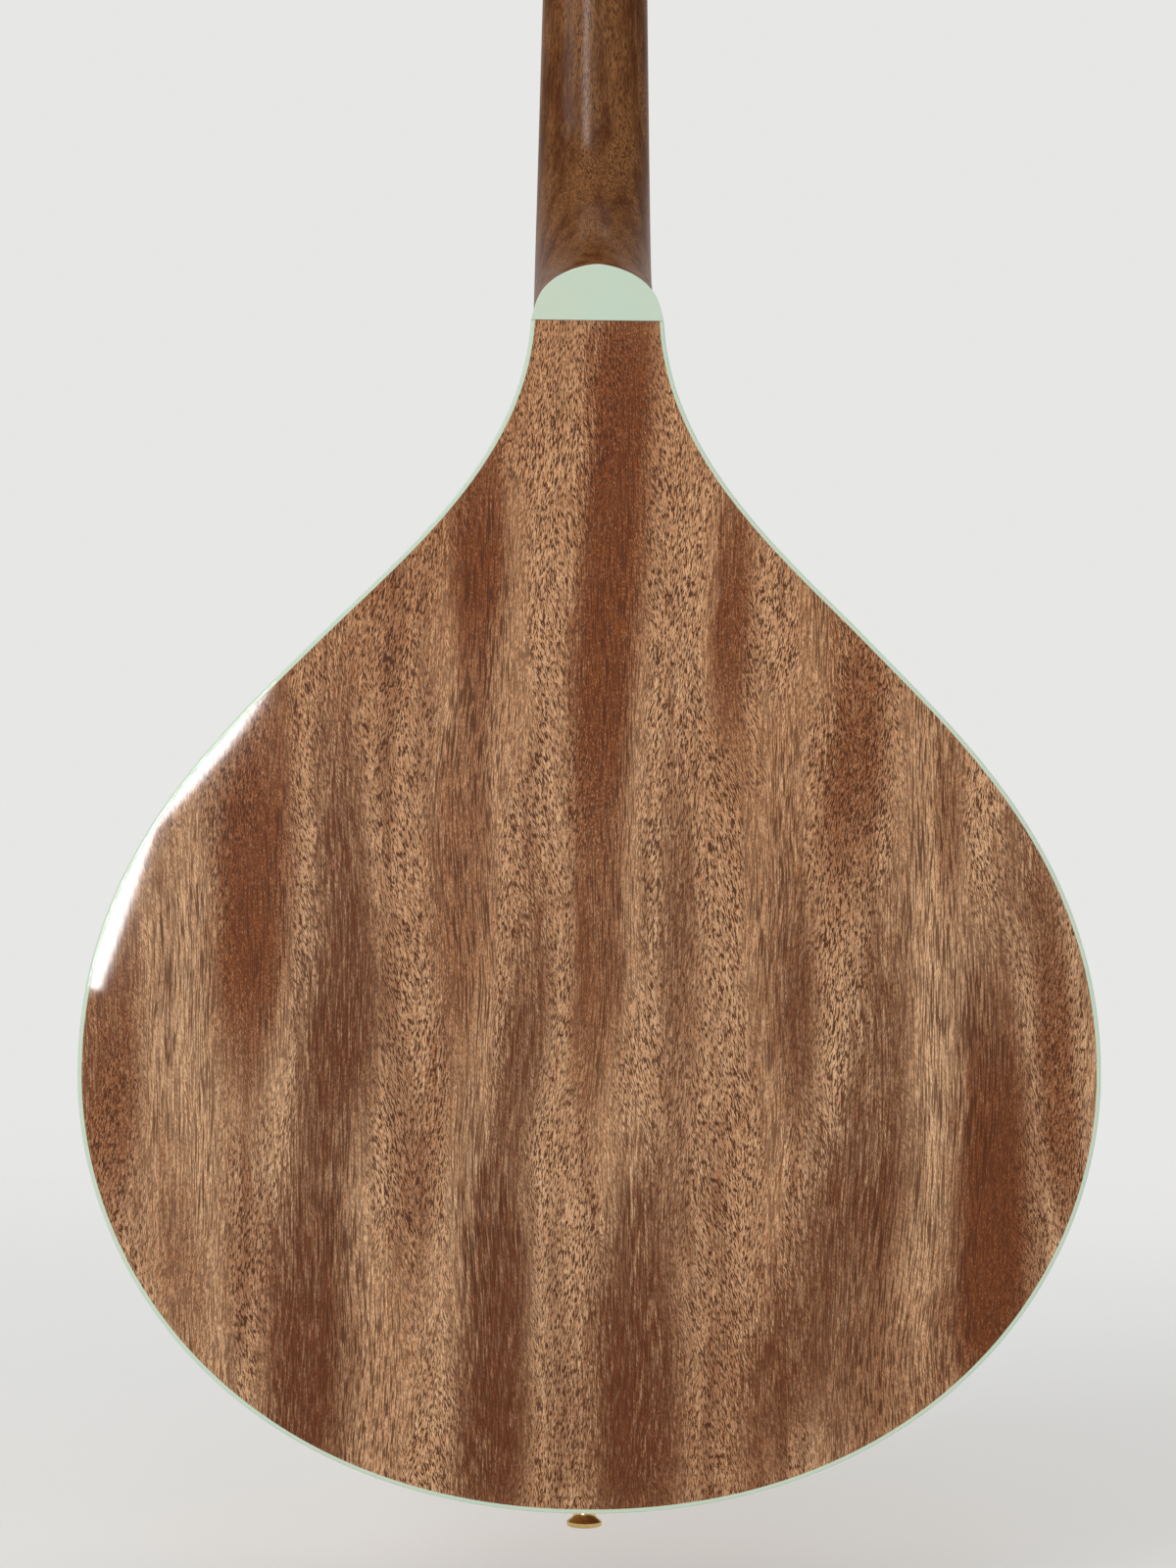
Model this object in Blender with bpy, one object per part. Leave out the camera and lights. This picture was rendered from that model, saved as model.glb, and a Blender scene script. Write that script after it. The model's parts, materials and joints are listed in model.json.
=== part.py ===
"""Octave mandolin with a pear shaped flat top body, hung upright.

Z runs up along the neck and is zero at the nut's string edge. Y is zero in the plane of the
soundboard's front and points to the strings. X points to the bass side. All sizes are metres.
"""

import math

import bmesh
import bpy
from mathutils import Matrix, Vector, geometry

# Seats, where one piece rests on another
SEAT = 0.0003

# Scale and fingerboard
SCALE_LENGTH = 0.533
FRET_COUNT = 20
JOINT_FRET = 15
BOARD_OVERRUN = 0.006
BOARD_NUT_THICK = 0.006
BOARD_END_THICK = 0.0095
BOARD_BINDING = 0.0013
FRET_WIDTH = 0.0024
FRET_CROWN = 0.0013
FRET_HEIGHT = 0.0009
NUT_THICK = 0.005
NUT_HEIGHT = 0.0085
STRING_LIFT = 0.001

# Neck and heel
NUT_WIDTH = 0.032
JOINT_WIDTH = 0.0445
NECK_NUT_DEPTH = 0.015
NECK_JOINT_DEPTH = 0.0175
NECK_FULLNESS = 2.4
HEEL_STRAIGHT = 0.008
HEEL_LENGTH = 0.020
HEEL_SWEEP = 0.075
HEEL_SHARES = (0.575, 0.725, 0.85, 0.94)
SWEEP_SHARES = (1.0, 0.96, 0.895, 0.8, 0.68, 0.54, 0.38, 0.2, 0.0)
SHAFT_LEVEL = -0.03
HEEL_CAP_THICK = 0.0025
HEEL_STACK = 0.033
TENON_WIDTH = 0.020
TENON_LENGTH = 0.016
TENON_DEPTH = 0.030

# Headstock
HEAD_ANGLE = math.radians(12.0)
HEAD_LENGTH = 0.160
HEAD_THICK = 0.015
HEAD_FLARE = 0.030
HEAD_LOW_WIDTH = 0.062
HEAD_TOP_WIDTH = 0.074
HEAD_CROWN = 0.030
HEAD_CROWN_POWER = 2.6
FLARE_SHARES = (0.23, 0.47, 0.7, 1.0)
CROWN_SHARES = (1.0, 0.6, 0.33, 0.15, 0.05, 0.0067)
HEAD_SQUARENESS = 9.0
HEADPLATE_THICK = 0.002

# Truss rod
ROD_RADIUS = 0.0028
ROD_DEPTH = 0.0055
ROD_NUT_RADIUS = 0.0035
ROD_NUT_LENGTH = 0.010
ROD_NUT_SOCKET = 0.002
ROD_NUT_SOCKET_DEPTH = 0.005
ROD_NUT_CHAMFER = 0.0004
ROD_POCKET_LENGTH = 0.020

# Body outline: half widths, distances below the joint and curve handles
BODY_LENGTH = 0.4195
BODY_HALF_WIDTH = 0.180
BODY_JOINT_HALF = 0.0234
WAIST_HALF = 0.0985
WAIST_DROP = 0.1133
WIDEST_DROP = 0.265
WAIST_ANGLE = math.radians(44.7)
JOINT_SPLAY = math.radians(3.0)
HANDLE_JOINT = 0.0494
HANDLE_WAIST_UP = 0.0423
HANDLE_WAIST_DOWN = 0.0461
HANDLE_SHOULDER = 0.0755
HANDLE_BOUT = 0.0763
HANDLE_TAIL = 0.117
OUTLINE_STEPS = (8, 8, 13)

# Body depth and walls
SIDE_DEPTH = 0.080
BACK_DOME = 0.005
BACK_THICK = 0.0026
BACK_RING_SHARES = (1.0, 0.8, 0.55, 0.3, 0.08)
TOP_THICK = 0.0028
RIB_THICK = 0.0022
BINDING_WIDTH = 0.0016
BINDING_DEPTH = 0.006
LINING_WIDTH = 0.006
LINING_DEPTH = 0.014
NECK_BLOCK_LENGTH = 0.055
TAIL_BLOCK_HALF = 0.042
TAIL_BLOCK_LENGTH = 0.020

# Sound hole and braces
HOLE_DROP = 0.115
HOLE_HALF_WIDTH = 0.044
HOLE_HALF_HEIGHT = 0.032
HOLE_SIDES = 32
BRACE_THICK = 0.008
BRACE_DEPTH = 0.012
BRACE_CREST_SHARE = 0.5
BRACE_PROFILE = ((-1.0, 0.3), (-0.86, 0.75), (-0.5, 1.0), (0.0, 1.0), (0.5, 1.0), (0.86, 0.75), (1.0, 0.3))
TOP_BRACE_UPPER = 0.074
TOP_BRACE_MIDDLE = 0.158
TOP_BRACE_LOWER = 0.300
TOP_BRACE_DROPS = {"upper": TOP_BRACE_UPPER, "middle": TOP_BRACE_MIDDLE, "lower": TOP_BRACE_LOWER}
BACK_BRACE_UPPER = 0.105
BACK_BRACE_MIDDLE = 0.215
BACK_BRACE_LOWER = 0.325
BACK_BRACE_DROPS = {"upper": BACK_BRACE_UPPER, "middle": BACK_BRACE_MIDDLE, "lower": BACK_BRACE_LOWER}

# Bridge
BRIDGE_HALF_LENGTH = 0.059
BRIDGE_BASE_HEIGHT = 0.0052
BRIDGE_BASE_WIDTH = 0.011
BRIDGE_END_HEIGHT = 0.0022
BRIDGE_FLAT_MARGIN = 0.006
BRIDGE_RELIEF_HALF = 0.022
BRIDGE_RELIEF_SLOPE = 0.004
BRIDGE_RELIEF_HEIGHT = 0.0014
STUD_SPACING = 0.056
STUD_RADIUS = 0.002
STUD_TOP = 0.0112
STUD_SINK = 0.002
WHEEL_RADIUS = 0.0055
WHEEL_THICK = 0.0017
WHEEL_CHAMFER = 0.0004
BRIDGE_TRAVEL = 0.002
SADDLE_HALF_LENGTH = 0.037
SADDLE_TOP = 0.0153
SADDLE_THICK = 0.007
SADDLE_CREST = 0.003
SADDLE_CREST_DROP = 0.0015
SADDLE_END_HEIGHT = 0.002
SADDLE_SLOPE = 0.008
SADDLE_TIP = 0.001
BORE_CLEARANCE = 0.0003
STUD_BORE_DEPTH = 0.004

# Tailpiece and strap button
TAILPIECE_WIDTH = 0.038
TAILPIECE_REACH = 0.036
TAILPIECE_THICK = 0.0015
TAILPIECE_LIFT = 0.0032
TAILPIECE_DROP = 0.026
TAILPIECE_BEND = 0.0022
TAILPIECE_CREASE = 0.001
HOOK_MARGIN = 0.004
HOOK_ROWS = (0.012, 0.006)
HOOK_SINK = 0.0007
HOOK_RADIUS = 0.0011
HOOK_HEIGHT = 0.0032
BUTTON_HEIGHT = 0.0125
BUTTON_FLANGE = 0.0064
BUTTON_NECK = 0.0038
BUTTON_FOOT = 0.0055
BUTTON_SHANK = 0.003
BUTTON_SHANK_LENGTH = 0.018
BUTTON_RECESS = 0.0026
BUTTON_RECESS_DEPTH = 0.002
BUTTON_CHAMFER = 0.0006
BUTTON_RIM = 0.0018

# Strings, from the bass side to the treble side
COURSE_RADII = [0.00053, 0.00040, 0.00027, 0.00016]
NUT_COURSE_SPACING = 0.008
NUT_PAIR_SPACING = 0.0021
BRIDGE_COURSE_SPACING = 0.0136
BRIDGE_PAIR_SPACING = 0.0031
TURNS = 2.2
TURN_POINTS = 12
TURN_GAP = 0.00048
WIND_HEIGHT = 0.0072

# Tuning machines
POST_SPACING = 0.023
FIRST_POST = 0.3 * HEAD_LENGTH
POST_X = 0.021
POST_RADIUS = 0.003
POST_WAIST = 0.0026
POST_TOP = 0.014
POST_BORE = 0.0036
POST_COLLAR = 0.0042
POST_STUB = 0.0024
POST_CHAMFER = 0.0008
PLATE_WIDTH = 0.0145
PLATE_THICK = 0.0012
PLATE_MARGIN = 0.0045
GEAR_TEETH = 14
GEAR_MODULE = 0.00075
GEAR_THICK = 0.003
GEAR_LIFT = 0.0031
ADDENDUM = 0.00055
DEDENDUM = 0.00075
MESH_GAP = 0.0002
TOOTH_ROOT_SHARE = 0.27
TOOTH_TIP_SHARE = 0.095
THREAD_ROOT_SHARE = 0.265
THREAD_CREST_SHARE = 0.10
WORM_RADIUS = 0.0024
WORM_TURNS = 2.5
WORM_STEPS = 10
SHAFT_RADIUS = 0.0015
SHAFT_CLEARANCE = 0.0002
COLLAR_RADIUS = 0.0024
COLLAR_LENGTH = 0.0022
EAR_THICK = 0.0011
EAR_WIDTH = 0.006
KEY_REACH = 0.019
BUTTON_LENGTH = 0.0135
BUTTON_BROAD = 0.0085
BUTTON_FLAT = 0.0042
BUTTON_LEAST = 0.0021
BUTTON_PROFILE = ((0.0, 0.28), (0.16, 0.70), (0.45, 1.0), (0.85, 0.78), (1.0, 0.28))

# Values worked out from the sizes above
JOINT_Z = -SCALE_LENGTH * (1.0 - 2.0 ** (-JOINT_FRET / 12.0))
BOARD_END = -SCALE_LENGTH * (1.0 - 2.0 ** (-FRET_COUNT / 12.0)) - BOARD_OVERRUN
BRIDGE_Z = -SCALE_LENGTH
TAIL_Z = JOINT_Z - BODY_LENGTH
STRAP_Y = -SIDE_DEPTH / 2.0
PLATE_BACK = -HEAD_THICK - SEAT - PLATE_THICK
GEAR_Y = PLATE_BACK - GEAR_LIFT
GEAR_RADIUS = GEAR_MODULE * GEAR_TEETH / 2.0
WORM_PITCH = math.pi * GEAR_MODULE
WORM_CENTRE = GEAR_RADIUS + WORM_RADIUS
WORM_LENGTH = (WORM_TURNS + 0.6) * WORM_PITCH
HEAD_STOPS = [HEAD_FLARE * share for share in FLARE_SHARES]
HEAD_STOPS += [HEAD_LENGTH - HEAD_CROWN * share for share in CROWN_SHARES]
SADDLE_FOOT = BRIDGE_BASE_HEIGHT + BRIDGE_TRAVEL + WHEEL_THICK + 2.0 * SEAT

HANDS = (("bass", 1.0), ("treble", -1.0))
SPIN = {
    "Z": Matrix(),
    "X": Matrix.Rotation(math.pi / 2.0, 4, "Y"),
    "Y": Matrix.Rotation(-math.pi / 2.0, 4, "X"),
}
COLOURS = {
    "mahogany": ((0.30, 0.12, 0.055), 0.35, 0.0),
    "neck_wood": ((0.20, 0.08, 0.04), 0.40, 0.0),
    "spruce": ((0.72, 0.50, 0.26), 0.35, 0.0),
    "rosewood": ((0.055, 0.028, 0.018), 0.45, 0.0),
    "binding": ((0.75, 0.80, 0.66), 0.30, 0.0),
    "bone": ((0.82, 0.78, 0.66), 0.40, 0.0),
    "chrome": ((0.75, 0.75, 0.75), 0.15, 1.0),
    "brass": ((0.80, 0.58, 0.25), 0.25, 1.0),
    "steel": ((0.60, 0.60, 0.62), 0.30, 1.0),
    "bronze": ((0.66, 0.42, 0.20), 0.35, 1.0),
}


def clear_scene():
    for item in list(bpy.data.objects):
        bpy.data.objects.remove(item, do_unlink=True)


def material(name):
    """A Principled material of one of the object's substances."""
    found = bpy.data.materials.get(name)
    if found:
        return found
    colour, roughness, metallic = COLOURS[name]
    made = bpy.data.materials.new(name)
    made.use_nodes = True
    shader = made.node_tree.nodes["Principled BSDF"]
    shader.inputs["Base Color"].default_value = (*colour, 1.0)
    shader.inputs["Roughness"].default_value = roughness
    shader.inputs["Metallic"].default_value = metallic
    return made


def finish(mesh, smooth_angle):
    """Face normals out, and edges blunter than the angle shaded smooth."""
    made = bmesh.new()
    made.from_mesh(mesh)
    bmesh.ops.recalc_face_normals(made, faces=made.faces)
    made.to_mesh(mesh)
    made.free()
    if smooth_angle:
        mesh.shade_smooth()
        mesh.set_sharp_from_angle(angle=math.radians(smooth_angle))


def add(name, mesh, stuff, parent=None, place=(0.0, 0.0, 0.0)):
    item = bpy.data.objects.new(name, mesh)
    if stuff and not mesh.materials:
        mesh.materials.append(material(stuff))
    item.location = place
    item.parent = parent
    bpy.context.scene.collection.objects.link(item)
    return item


def skin(made, low, high):
    """Faces between two closed rows of points."""
    for i in range(len(low)):
        j = (i + 1) % len(low)
        made.faces.new((low[i], low[j], high[j], high[i]))


def closed(name, made, smooth_angle=0.0, flat_faces=False):
    """A mesh from a bmesh, its doubled points merged.

    Faces that bend are split into flat triangles where a Boolean follows.
    """
    bmesh.ops.remove_doubles(made, verts=made.verts, dist=2e-6)
    bmesh.ops.dissolve_degenerate(made, edges=made.edges, dist=1e-7)
    if flat_faces:
        bmesh.ops.triangulate(made, faces=made.faces)
    mesh = bpy.data.meshes.new(name)
    made.to_mesh(mesh)
    made.free()
    finish(mesh, smooth_angle)
    return mesh


def loft(name, rings, smooth_angle=0.0, flat_faces=False):
    """Skin a list of closed rings with equal counts, capped at both ends."""
    made = bmesh.new()
    rows = [[made.verts.new(point) for point in ring] for ring in rings]
    for low, high in zip(rows, rows[1:]):
        skin(made, low, high)
    made.faces.new(rows[0][::-1])
    made.faces.new(rows[-1])
    return closed(name, made, smooth_angle, flat_faces)


def lathe(name, profile, sides, axis="Z", smooth_angle=35.0):
    """Turn (radius, height) points about an axis; a profile that starts off it leaves a bore."""
    made = bmesh.new()
    turns = [math.tau * k / sides for k in range(sides)]
    rows = []
    for radius, height in profile:
        ring = [Vector((radius * math.cos(turn), radius * math.sin(turn), height)) for turn in turns]
        rows.append([made.verts.new(SPIN[axis] @ point) for point in ring])
    if profile[0][0] > 0.0:
        rows.append(rows[0])
    for low, high in zip(rows, rows[1:]):
        skin(made, low, high)
    return closed(name, made, smooth_angle)


def rod(name, radius, low, high, sides, axis="Z"):
    """A plain round bar between two heights on its axis."""
    return lathe(name, [(0.0, low), (radius, low), (radius, high), (0.0, high)], sides, axis)


def box(name, low, high):
    """A plain block between two corners."""
    (x, y, z), (u, v, w) = low, high
    return loft(name, [[(x, y, level), (u, y, level), (u, v, level), (x, v, level)] for level in (z, w)])


def gathered(name, pieces):
    """Several (mesh, place) pieces that stay apart, as one mesh."""
    made = bmesh.new()
    for mesh, place in pieces:
        count = len(made.verts)
        made.from_mesh(mesh)
        made.verts.ensure_lookup_table()
        bmesh.ops.translate(made, vec=place, verts=made.verts[count:])
    return closed(name, made)


def helper(name, mesh, parent=None, place=(0.0, 0.0, 0.0)):
    item = add(name, mesh, None, parent, place)
    item.hide_render = True
    item.display_type = "WIRE"
    return item


def combine(item, other, operation):
    change = item.modifiers.new(other.name, "BOOLEAN")
    change.object = other
    change.operation = operation
    change.solver = "EXACT"


def merged(name, mesh, other, operation):
    """One mesh from two by a Boolean, so that copies can share it."""
    item = add(name, mesh, None)
    tool = add("tool", other, None)
    combine(item, tool, operation)
    bpy.context.view_layer.update()
    graph = bpy.context.evaluated_depsgraph_get()
    made = bpy.data.meshes.new_from_object(item.evaluated_get(graph))
    made.name = name
    finish(made, 30.0)
    for used in (item, tool):
        bpy.data.objects.remove(used, do_unlink=True)
    return made


def height_at(height, x, z):
    """A height given as a number or as a function of x and z."""
    return height(x, z) if callable(height) else height


def slab(name, points, y_low, y_high, smooth_angle=30.0):
    """An outline in X and Z, thick along Y; either height may be a function of x and z."""
    rings = [[(x, height_at(height, x, z), z) for x, z in points] for height in (y_low, y_high)]
    return loft(name, rings, smooth_angle)


def half_outline():
    """The bass half of the body's outline: (half width, distance below the joint)."""
    waist = Vector((WAIST_HALF, WAIST_DROP))
    run = Vector((math.sin(WAIST_ANGLE), math.cos(WAIST_ANGLE)))
    start = Vector((BODY_JOINT_HALF, 0.0))
    splay = Vector((math.sin(JOINT_SPLAY), math.cos(JOINT_SPLAY)))
    widest = Vector((BODY_HALF_WIDTH, WIDEST_DROP))
    tail = Vector((0.0, BODY_LENGTH))
    down = Vector((0.0, 1.0))
    out = Vector((1.0, 0.0))
    spans = [
        (start, start + HANDLE_JOINT * splay, waist - HANDLE_WAIST_UP * run, waist),
        (waist, waist + HANDLE_WAIST_DOWN * run, widest - HANDLE_SHOULDER * down, widest),
        (widest, widest + HANDLE_BOUT * down, tail + HANDLE_TAIL * out, tail),
    ]
    points = [start]
    for handles, steps in zip(spans, OUTLINE_STEPS):
        points += geometry.interpolate_bezier(*handles, steps + 1)[1:]
    return [Vector((p.x, p.y)) for p in points]


def inset(inward):
    """The half outline moved inwards by a distance, still starting at the joint's plane."""
    line = half_outline()
    moved = []
    for i, point in enumerate(line):
        before = line[max(i - 1, 0)]
        after = line[i + 1] if i + 1 < len(line) else Vector((-line[-2].x, line[-2].y))
        along = (after - before).normalized()
        moved.append(point + inward * Vector((-along.y, along.x)))
    moved[0].y = 0.0
    moved[-1].x = 0.0
    return moved


def half_width(line, drop):
    """How wide a half outline is at a distance below the joint."""
    for a, b in zip(line, line[1:]):
        if a.y <= drop <= b.y:
            return a.x + (b.x - a.x) * (drop - a.y) / (b.y - a.y)
    return line[0].x if drop < line[0].y else 0.0


def clipped(line, first_drop, last_x):
    """The stretch of a half outline below a distance and outside a half width."""
    points = [Vector((half_width(line, first_drop), first_drop))]
    for a, b in zip(line, line[1:]):
        past_tail = b.x <= last_x and b.y > WIDEST_DROP
        if past_tail:
            points.append(a.lerp(b, (a.x - last_x) / (a.x - b.x)))
            break
        if b.y > first_drop + 1e-4:
            points.append(b)
    return points


def world(points):
    """Points below the joint turned into X and Z."""
    return [(p[0], JOINT_Z - p[1]) for p in points]


def mirrored(points):
    return [Vector((-p[0], p[1])) for p in points]


def whole(line):
    """A closed outline from its bass half."""
    return world(line + mirrored(line)[-2::-1])


def back_swell(x, z):
    """How far the back bulges out behind its rim, like a shallow dish over the pear shape."""
    drop = JOINT_Z - z
    reach = Vector((abs(x), drop - WIDEST_DROP))
    if reach.length < 1e-6:
        return BACK_DOME
    way = reach.normalized()
    share = 1.0
    line = [Vector((0.0, 0.0))] + half_outline()
    for a, b in zip(line, line[1:]):
        edge = b - a
        start = a - Vector((0.0, WIDEST_DROP))
        cross = way.x * edge.y - way.y * edge.x
        if abs(cross) < 1e-12:
            continue
        far = (start.x * edge.y - start.y * edge.x) / cross
        along = (start.x * way.y - start.y * way.x) / cross
        if far > 0.0 and -1e-6 <= along <= 1.0 + 1e-6:
            share = min(reach.length / far, 1.0)
            break
    return BACK_DOME * (1.0 - share * share)


def back_inside(x, z):
    """The back plate's inner surface."""
    return -SIDE_DEPTH + BACK_THICK - back_swell(x, z)


def back_plate():
    """A dished plate: rings that shrink towards its highest point."""
    rim = whole(inset(BINDING_WIDTH + SEAT))
    middle = JOINT_Z - WIDEST_DROP
    outside = []
    inside = []
    for share in BACK_RING_SHARES:
        ring = [(x * share, middle + (z - middle) * share) for x, z in rim]
        outside.append([(x, -SIDE_DEPTH - back_swell(x, z), z) for x, z in ring])
        inside.append([(x, back_inside(x, z), z) for x, z in ring])
    add("back_plate", loft("back_plate", outside[::-1] + inside, 30.0), "mahogany")


def top_plate():
    rim = whole(inset(BINDING_WIDTH + SEAT))
    plate = add("top_plate", slab("top_plate", rim, -TOP_THICK, 0.0), "spruce")
    middle = JOINT_Z - HOLE_DROP
    turns = [math.tau * k / HOLE_SIDES for k in range(HOLE_SIDES)]
    hole = [(HOLE_HALF_WIDTH * math.cos(turn), middle + HOLE_HALF_HEIGHT * math.sin(turn)) for turn in turns]
    cut = slab("cut_sound_hole", hole, -2.0 * TOP_THICK, TOP_THICK)
    combine(plate, helper("cut_sound_hole", cut), "DIFFERENCE")


def strip(name, stuff, outer, inner, y_low, y_high):
    """A bent strip between two outlines that run side by side."""
    mesh = loft(name, [
        [(a[0], y_low, a[1]), (b[0], y_low, b[1]), (b[0], y_high, b[1]), (a[0], y_high, a[1])]
        for a, b in zip(outer, inner)
    ], 30.0)
    return add(name, mesh, stuff)


def bindings():
    outer = whole(inset(0.0))
    inner = whole(inset(BINDING_WIDTH))
    back = -SIDE_DEPTH
    strip("back_binding", "binding", outer, inner, back, back + BINDING_DEPTH)
    strip("top_binding", "binding", outer, inner, -BINDING_DEPTH, 0.0)


def ribs():
    low = -SIDE_DEPTH + BINDING_DEPTH + SEAT
    high = -BINDING_DEPTH - SEAT
    outer = clipped(inset(0.0), 0.0, SEAT / 2.0)
    inner = clipped(inset(RIB_THICK), 0.0, SEAT / 2.0)
    shank = strap_bore()
    for name, turn in (("rib_bass", list), ("rib_treble", mirrored)):
        rib = strip(name, "mahogany", world(turn(outer)), world(turn(inner)), low, high)
        combine(rib, shank, "DIFFERENCE")


def linings():
    """Kerfed linings that carry each plate's edge along the ribs, between the blocks."""
    near = RIB_THICK + SEAT
    first = NECK_BLOCK_LENGTH + SEAT
    last = TAIL_BLOCK_HALF + SEAT
    outer = clipped(inset(near), first, last)
    inner = clipped(inset(near + LINING_WIDTH), first, last)
    levels = {
        "back": (-SIDE_DEPTH + BACK_THICK + SEAT, -SIDE_DEPTH + LINING_DEPTH),
        "top": (-LINING_DEPTH, -TOP_THICK - SEAT),
    }
    for side, turn in (("bass", list), ("treble", mirrored)):
        for plate, (low, high) in levels.items():
            name = f"lining_{plate}_{side}"
            strip(name, "mahogany", world(turn(outer)), world(turn(inner)), low, high)


def block_foot(x, z):
    """The blocks stand on the back plate's inner surface."""
    return back_inside(x, z) + SEAT


def neck_block():
    """The block that the ribs close on, mortised for the neck's tenon."""
    line = inset(RIB_THICK + SEAT)
    side = [p for p in line if p.y < NECK_BLOCK_LENGTH - 1e-4]
    side.append(Vector((half_width(line, NECK_BLOCK_LENGTH), NECK_BLOCK_LENGTH)))
    across = [Vector((side[-1].x * k / 3.0, NECK_BLOCK_LENGTH)) for k in (2, 1, 0, -1, -2)]
    points = world(side + across + mirrored(side)[::-1])
    front = -TOP_THICK - SEAT
    block = add("neck_block", slab("neck_block", points, block_foot, front, 0.0), "mahogany")
    half = TENON_WIDTH / 2.0 + SEAT
    low = (-half, front - TENON_DEPTH - SEAT, JOINT_Z - TENON_LENGTH - SEAT)
    high = (half, front + TOP_THICK, JOINT_Z + TENON_LENGTH)
    combine(block, helper("cut_mortise", box("cut_mortise", low, high)), "DIFFERENCE")


def tail_block():
    line = inset(RIB_THICK + SEAT)
    side = clipped(line, WIDEST_DROP, TAIL_BLOCK_HALF)[-1:]
    side += [p for p in line if p.y > WIDEST_DROP and p.x < TAIL_BLOCK_HALF - 1e-4]
    end = BODY_LENGTH - RIB_THICK - SEAT - TAIL_BLOCK_LENGTH
    across = [Vector((TAIL_BLOCK_HALF * k / 3.0, end)) for k in (-3, -2, -1, 0, 1, 2, 3)]
    points = world(side + mirrored(side)[-2::-1] + across)
    mesh = slab("tail_block", points, block_foot, -TOP_THICK - SEAT, 0.0)
    combine(add("tail_block", mesh, "mahogany"), bpy.data.objects["cut_strap_bore"], "DIFFERENCE")


def braces():
    """Cross braces with thinned ends; the back ones follow the dish of the back."""
    line = inset(RIB_THICK + LINING_WIDTH + 3.0 * SEAT)
    for plate, drops in (("top", TOP_BRACE_DROPS), ("back", BACK_BRACE_DROPS)):
        for place, drop in drops.items():
            half = min(half_width(line, drop + k * BRACE_THICK / 2.0) for k in (-1, 1))
            rings = [brace_ring(plate, half * share, drop, height) for share, height in BRACE_PROFILE]
            name = f"{plate}_brace_{place}"
            add(name, loft(name, rings), "spruce")


def brace_ring(plate, x, drop, height):
    """A brace's section: its foot on the plate, and a narrower crest."""
    middle = JOINT_Z - drop
    foot = []
    crest = []
    for z in (middle - BRACE_THICK / 2.0, middle + BRACE_THICK / 2.0):
        seat = -TOP_THICK - SEAT if plate == "top" else back_inside(x, z) + SEAT
        rise = -height * BRACE_DEPTH if plate == "top" else height * BRACE_DEPTH
        foot.append((x, seat, z))
        crest.append((x, seat + rise, middle + (z - middle) * BRACE_CREST_SHARE))
    return [foot[0], crest[0], crest[1], foot[1]]


def strap_bore():
    """The hole for the strap button's shank, through the ribs and into the tail block."""
    mesh = rod("cut_strap_bore", BUTTON_SHANK + SEAT, -SEAT - RIB_THICK, BUTTON_SHANK_LENGTH + 2.0 * SEAT, 16)
    return helper("cut_strap_bore", mesh, None, (0.0, STRAP_Y, TAIL_Z))


def neck_width(z):
    """The neck and fingerboard widen evenly from the nut."""
    return NUT_WIDTH + (JOINT_WIDTH - NUT_WIDTH) * z / JOINT_Z


def share_of(value, low, high):
    """How far a value lies between two others, from 0 to 1."""
    return min(max((value - low) / (high - low), 0.0), 1.0)


def head_half_width(z):
    """Half width of the headstock at a distance above the nut."""
    flare = share_of(z, 0.0, HEAD_FLARE)
    ease = flare * flare * (3.0 - 2.0 * flare)
    wide = NUT_WIDTH + (HEAD_LOW_WIDTH - NUT_WIDTH) * ease
    wide += (HEAD_TOP_WIDTH - HEAD_LOW_WIDTH) * share_of(z, HEAD_FLARE, HEAD_LENGTH - HEAD_CROWN)
    crown = share_of(z, HEAD_LENGTH - HEAD_CROWN, HEAD_LENGTH)
    return 0.5 * wide * (1.0 - crown ** HEAD_CROWN_POWER) ** (1.0 / HEAD_CROWN_POWER)


def neck_section(half, depth, fullness, flat, place):
    """One cross section: a flat top, and sides that close in a curve or stop at a flat."""
    side = []
    for k in range(7):
        turn = math.pi / 2.0 * k / 6.0
        down = math.sin(turn) ** (2.0 / fullness)
        out = (1.0 - down ** fullness * (1.0 - flat ** fullness)) ** (1.0 / fullness) if k < 6 else flat
        side.append((half * out, -depth * down))
    ring = [(x, y) for x, y in side] + [(-x, y) for x, y in side[::-1]]
    return [place @ Vector((x, y, 0.0)) for x, y in ring]


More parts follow.
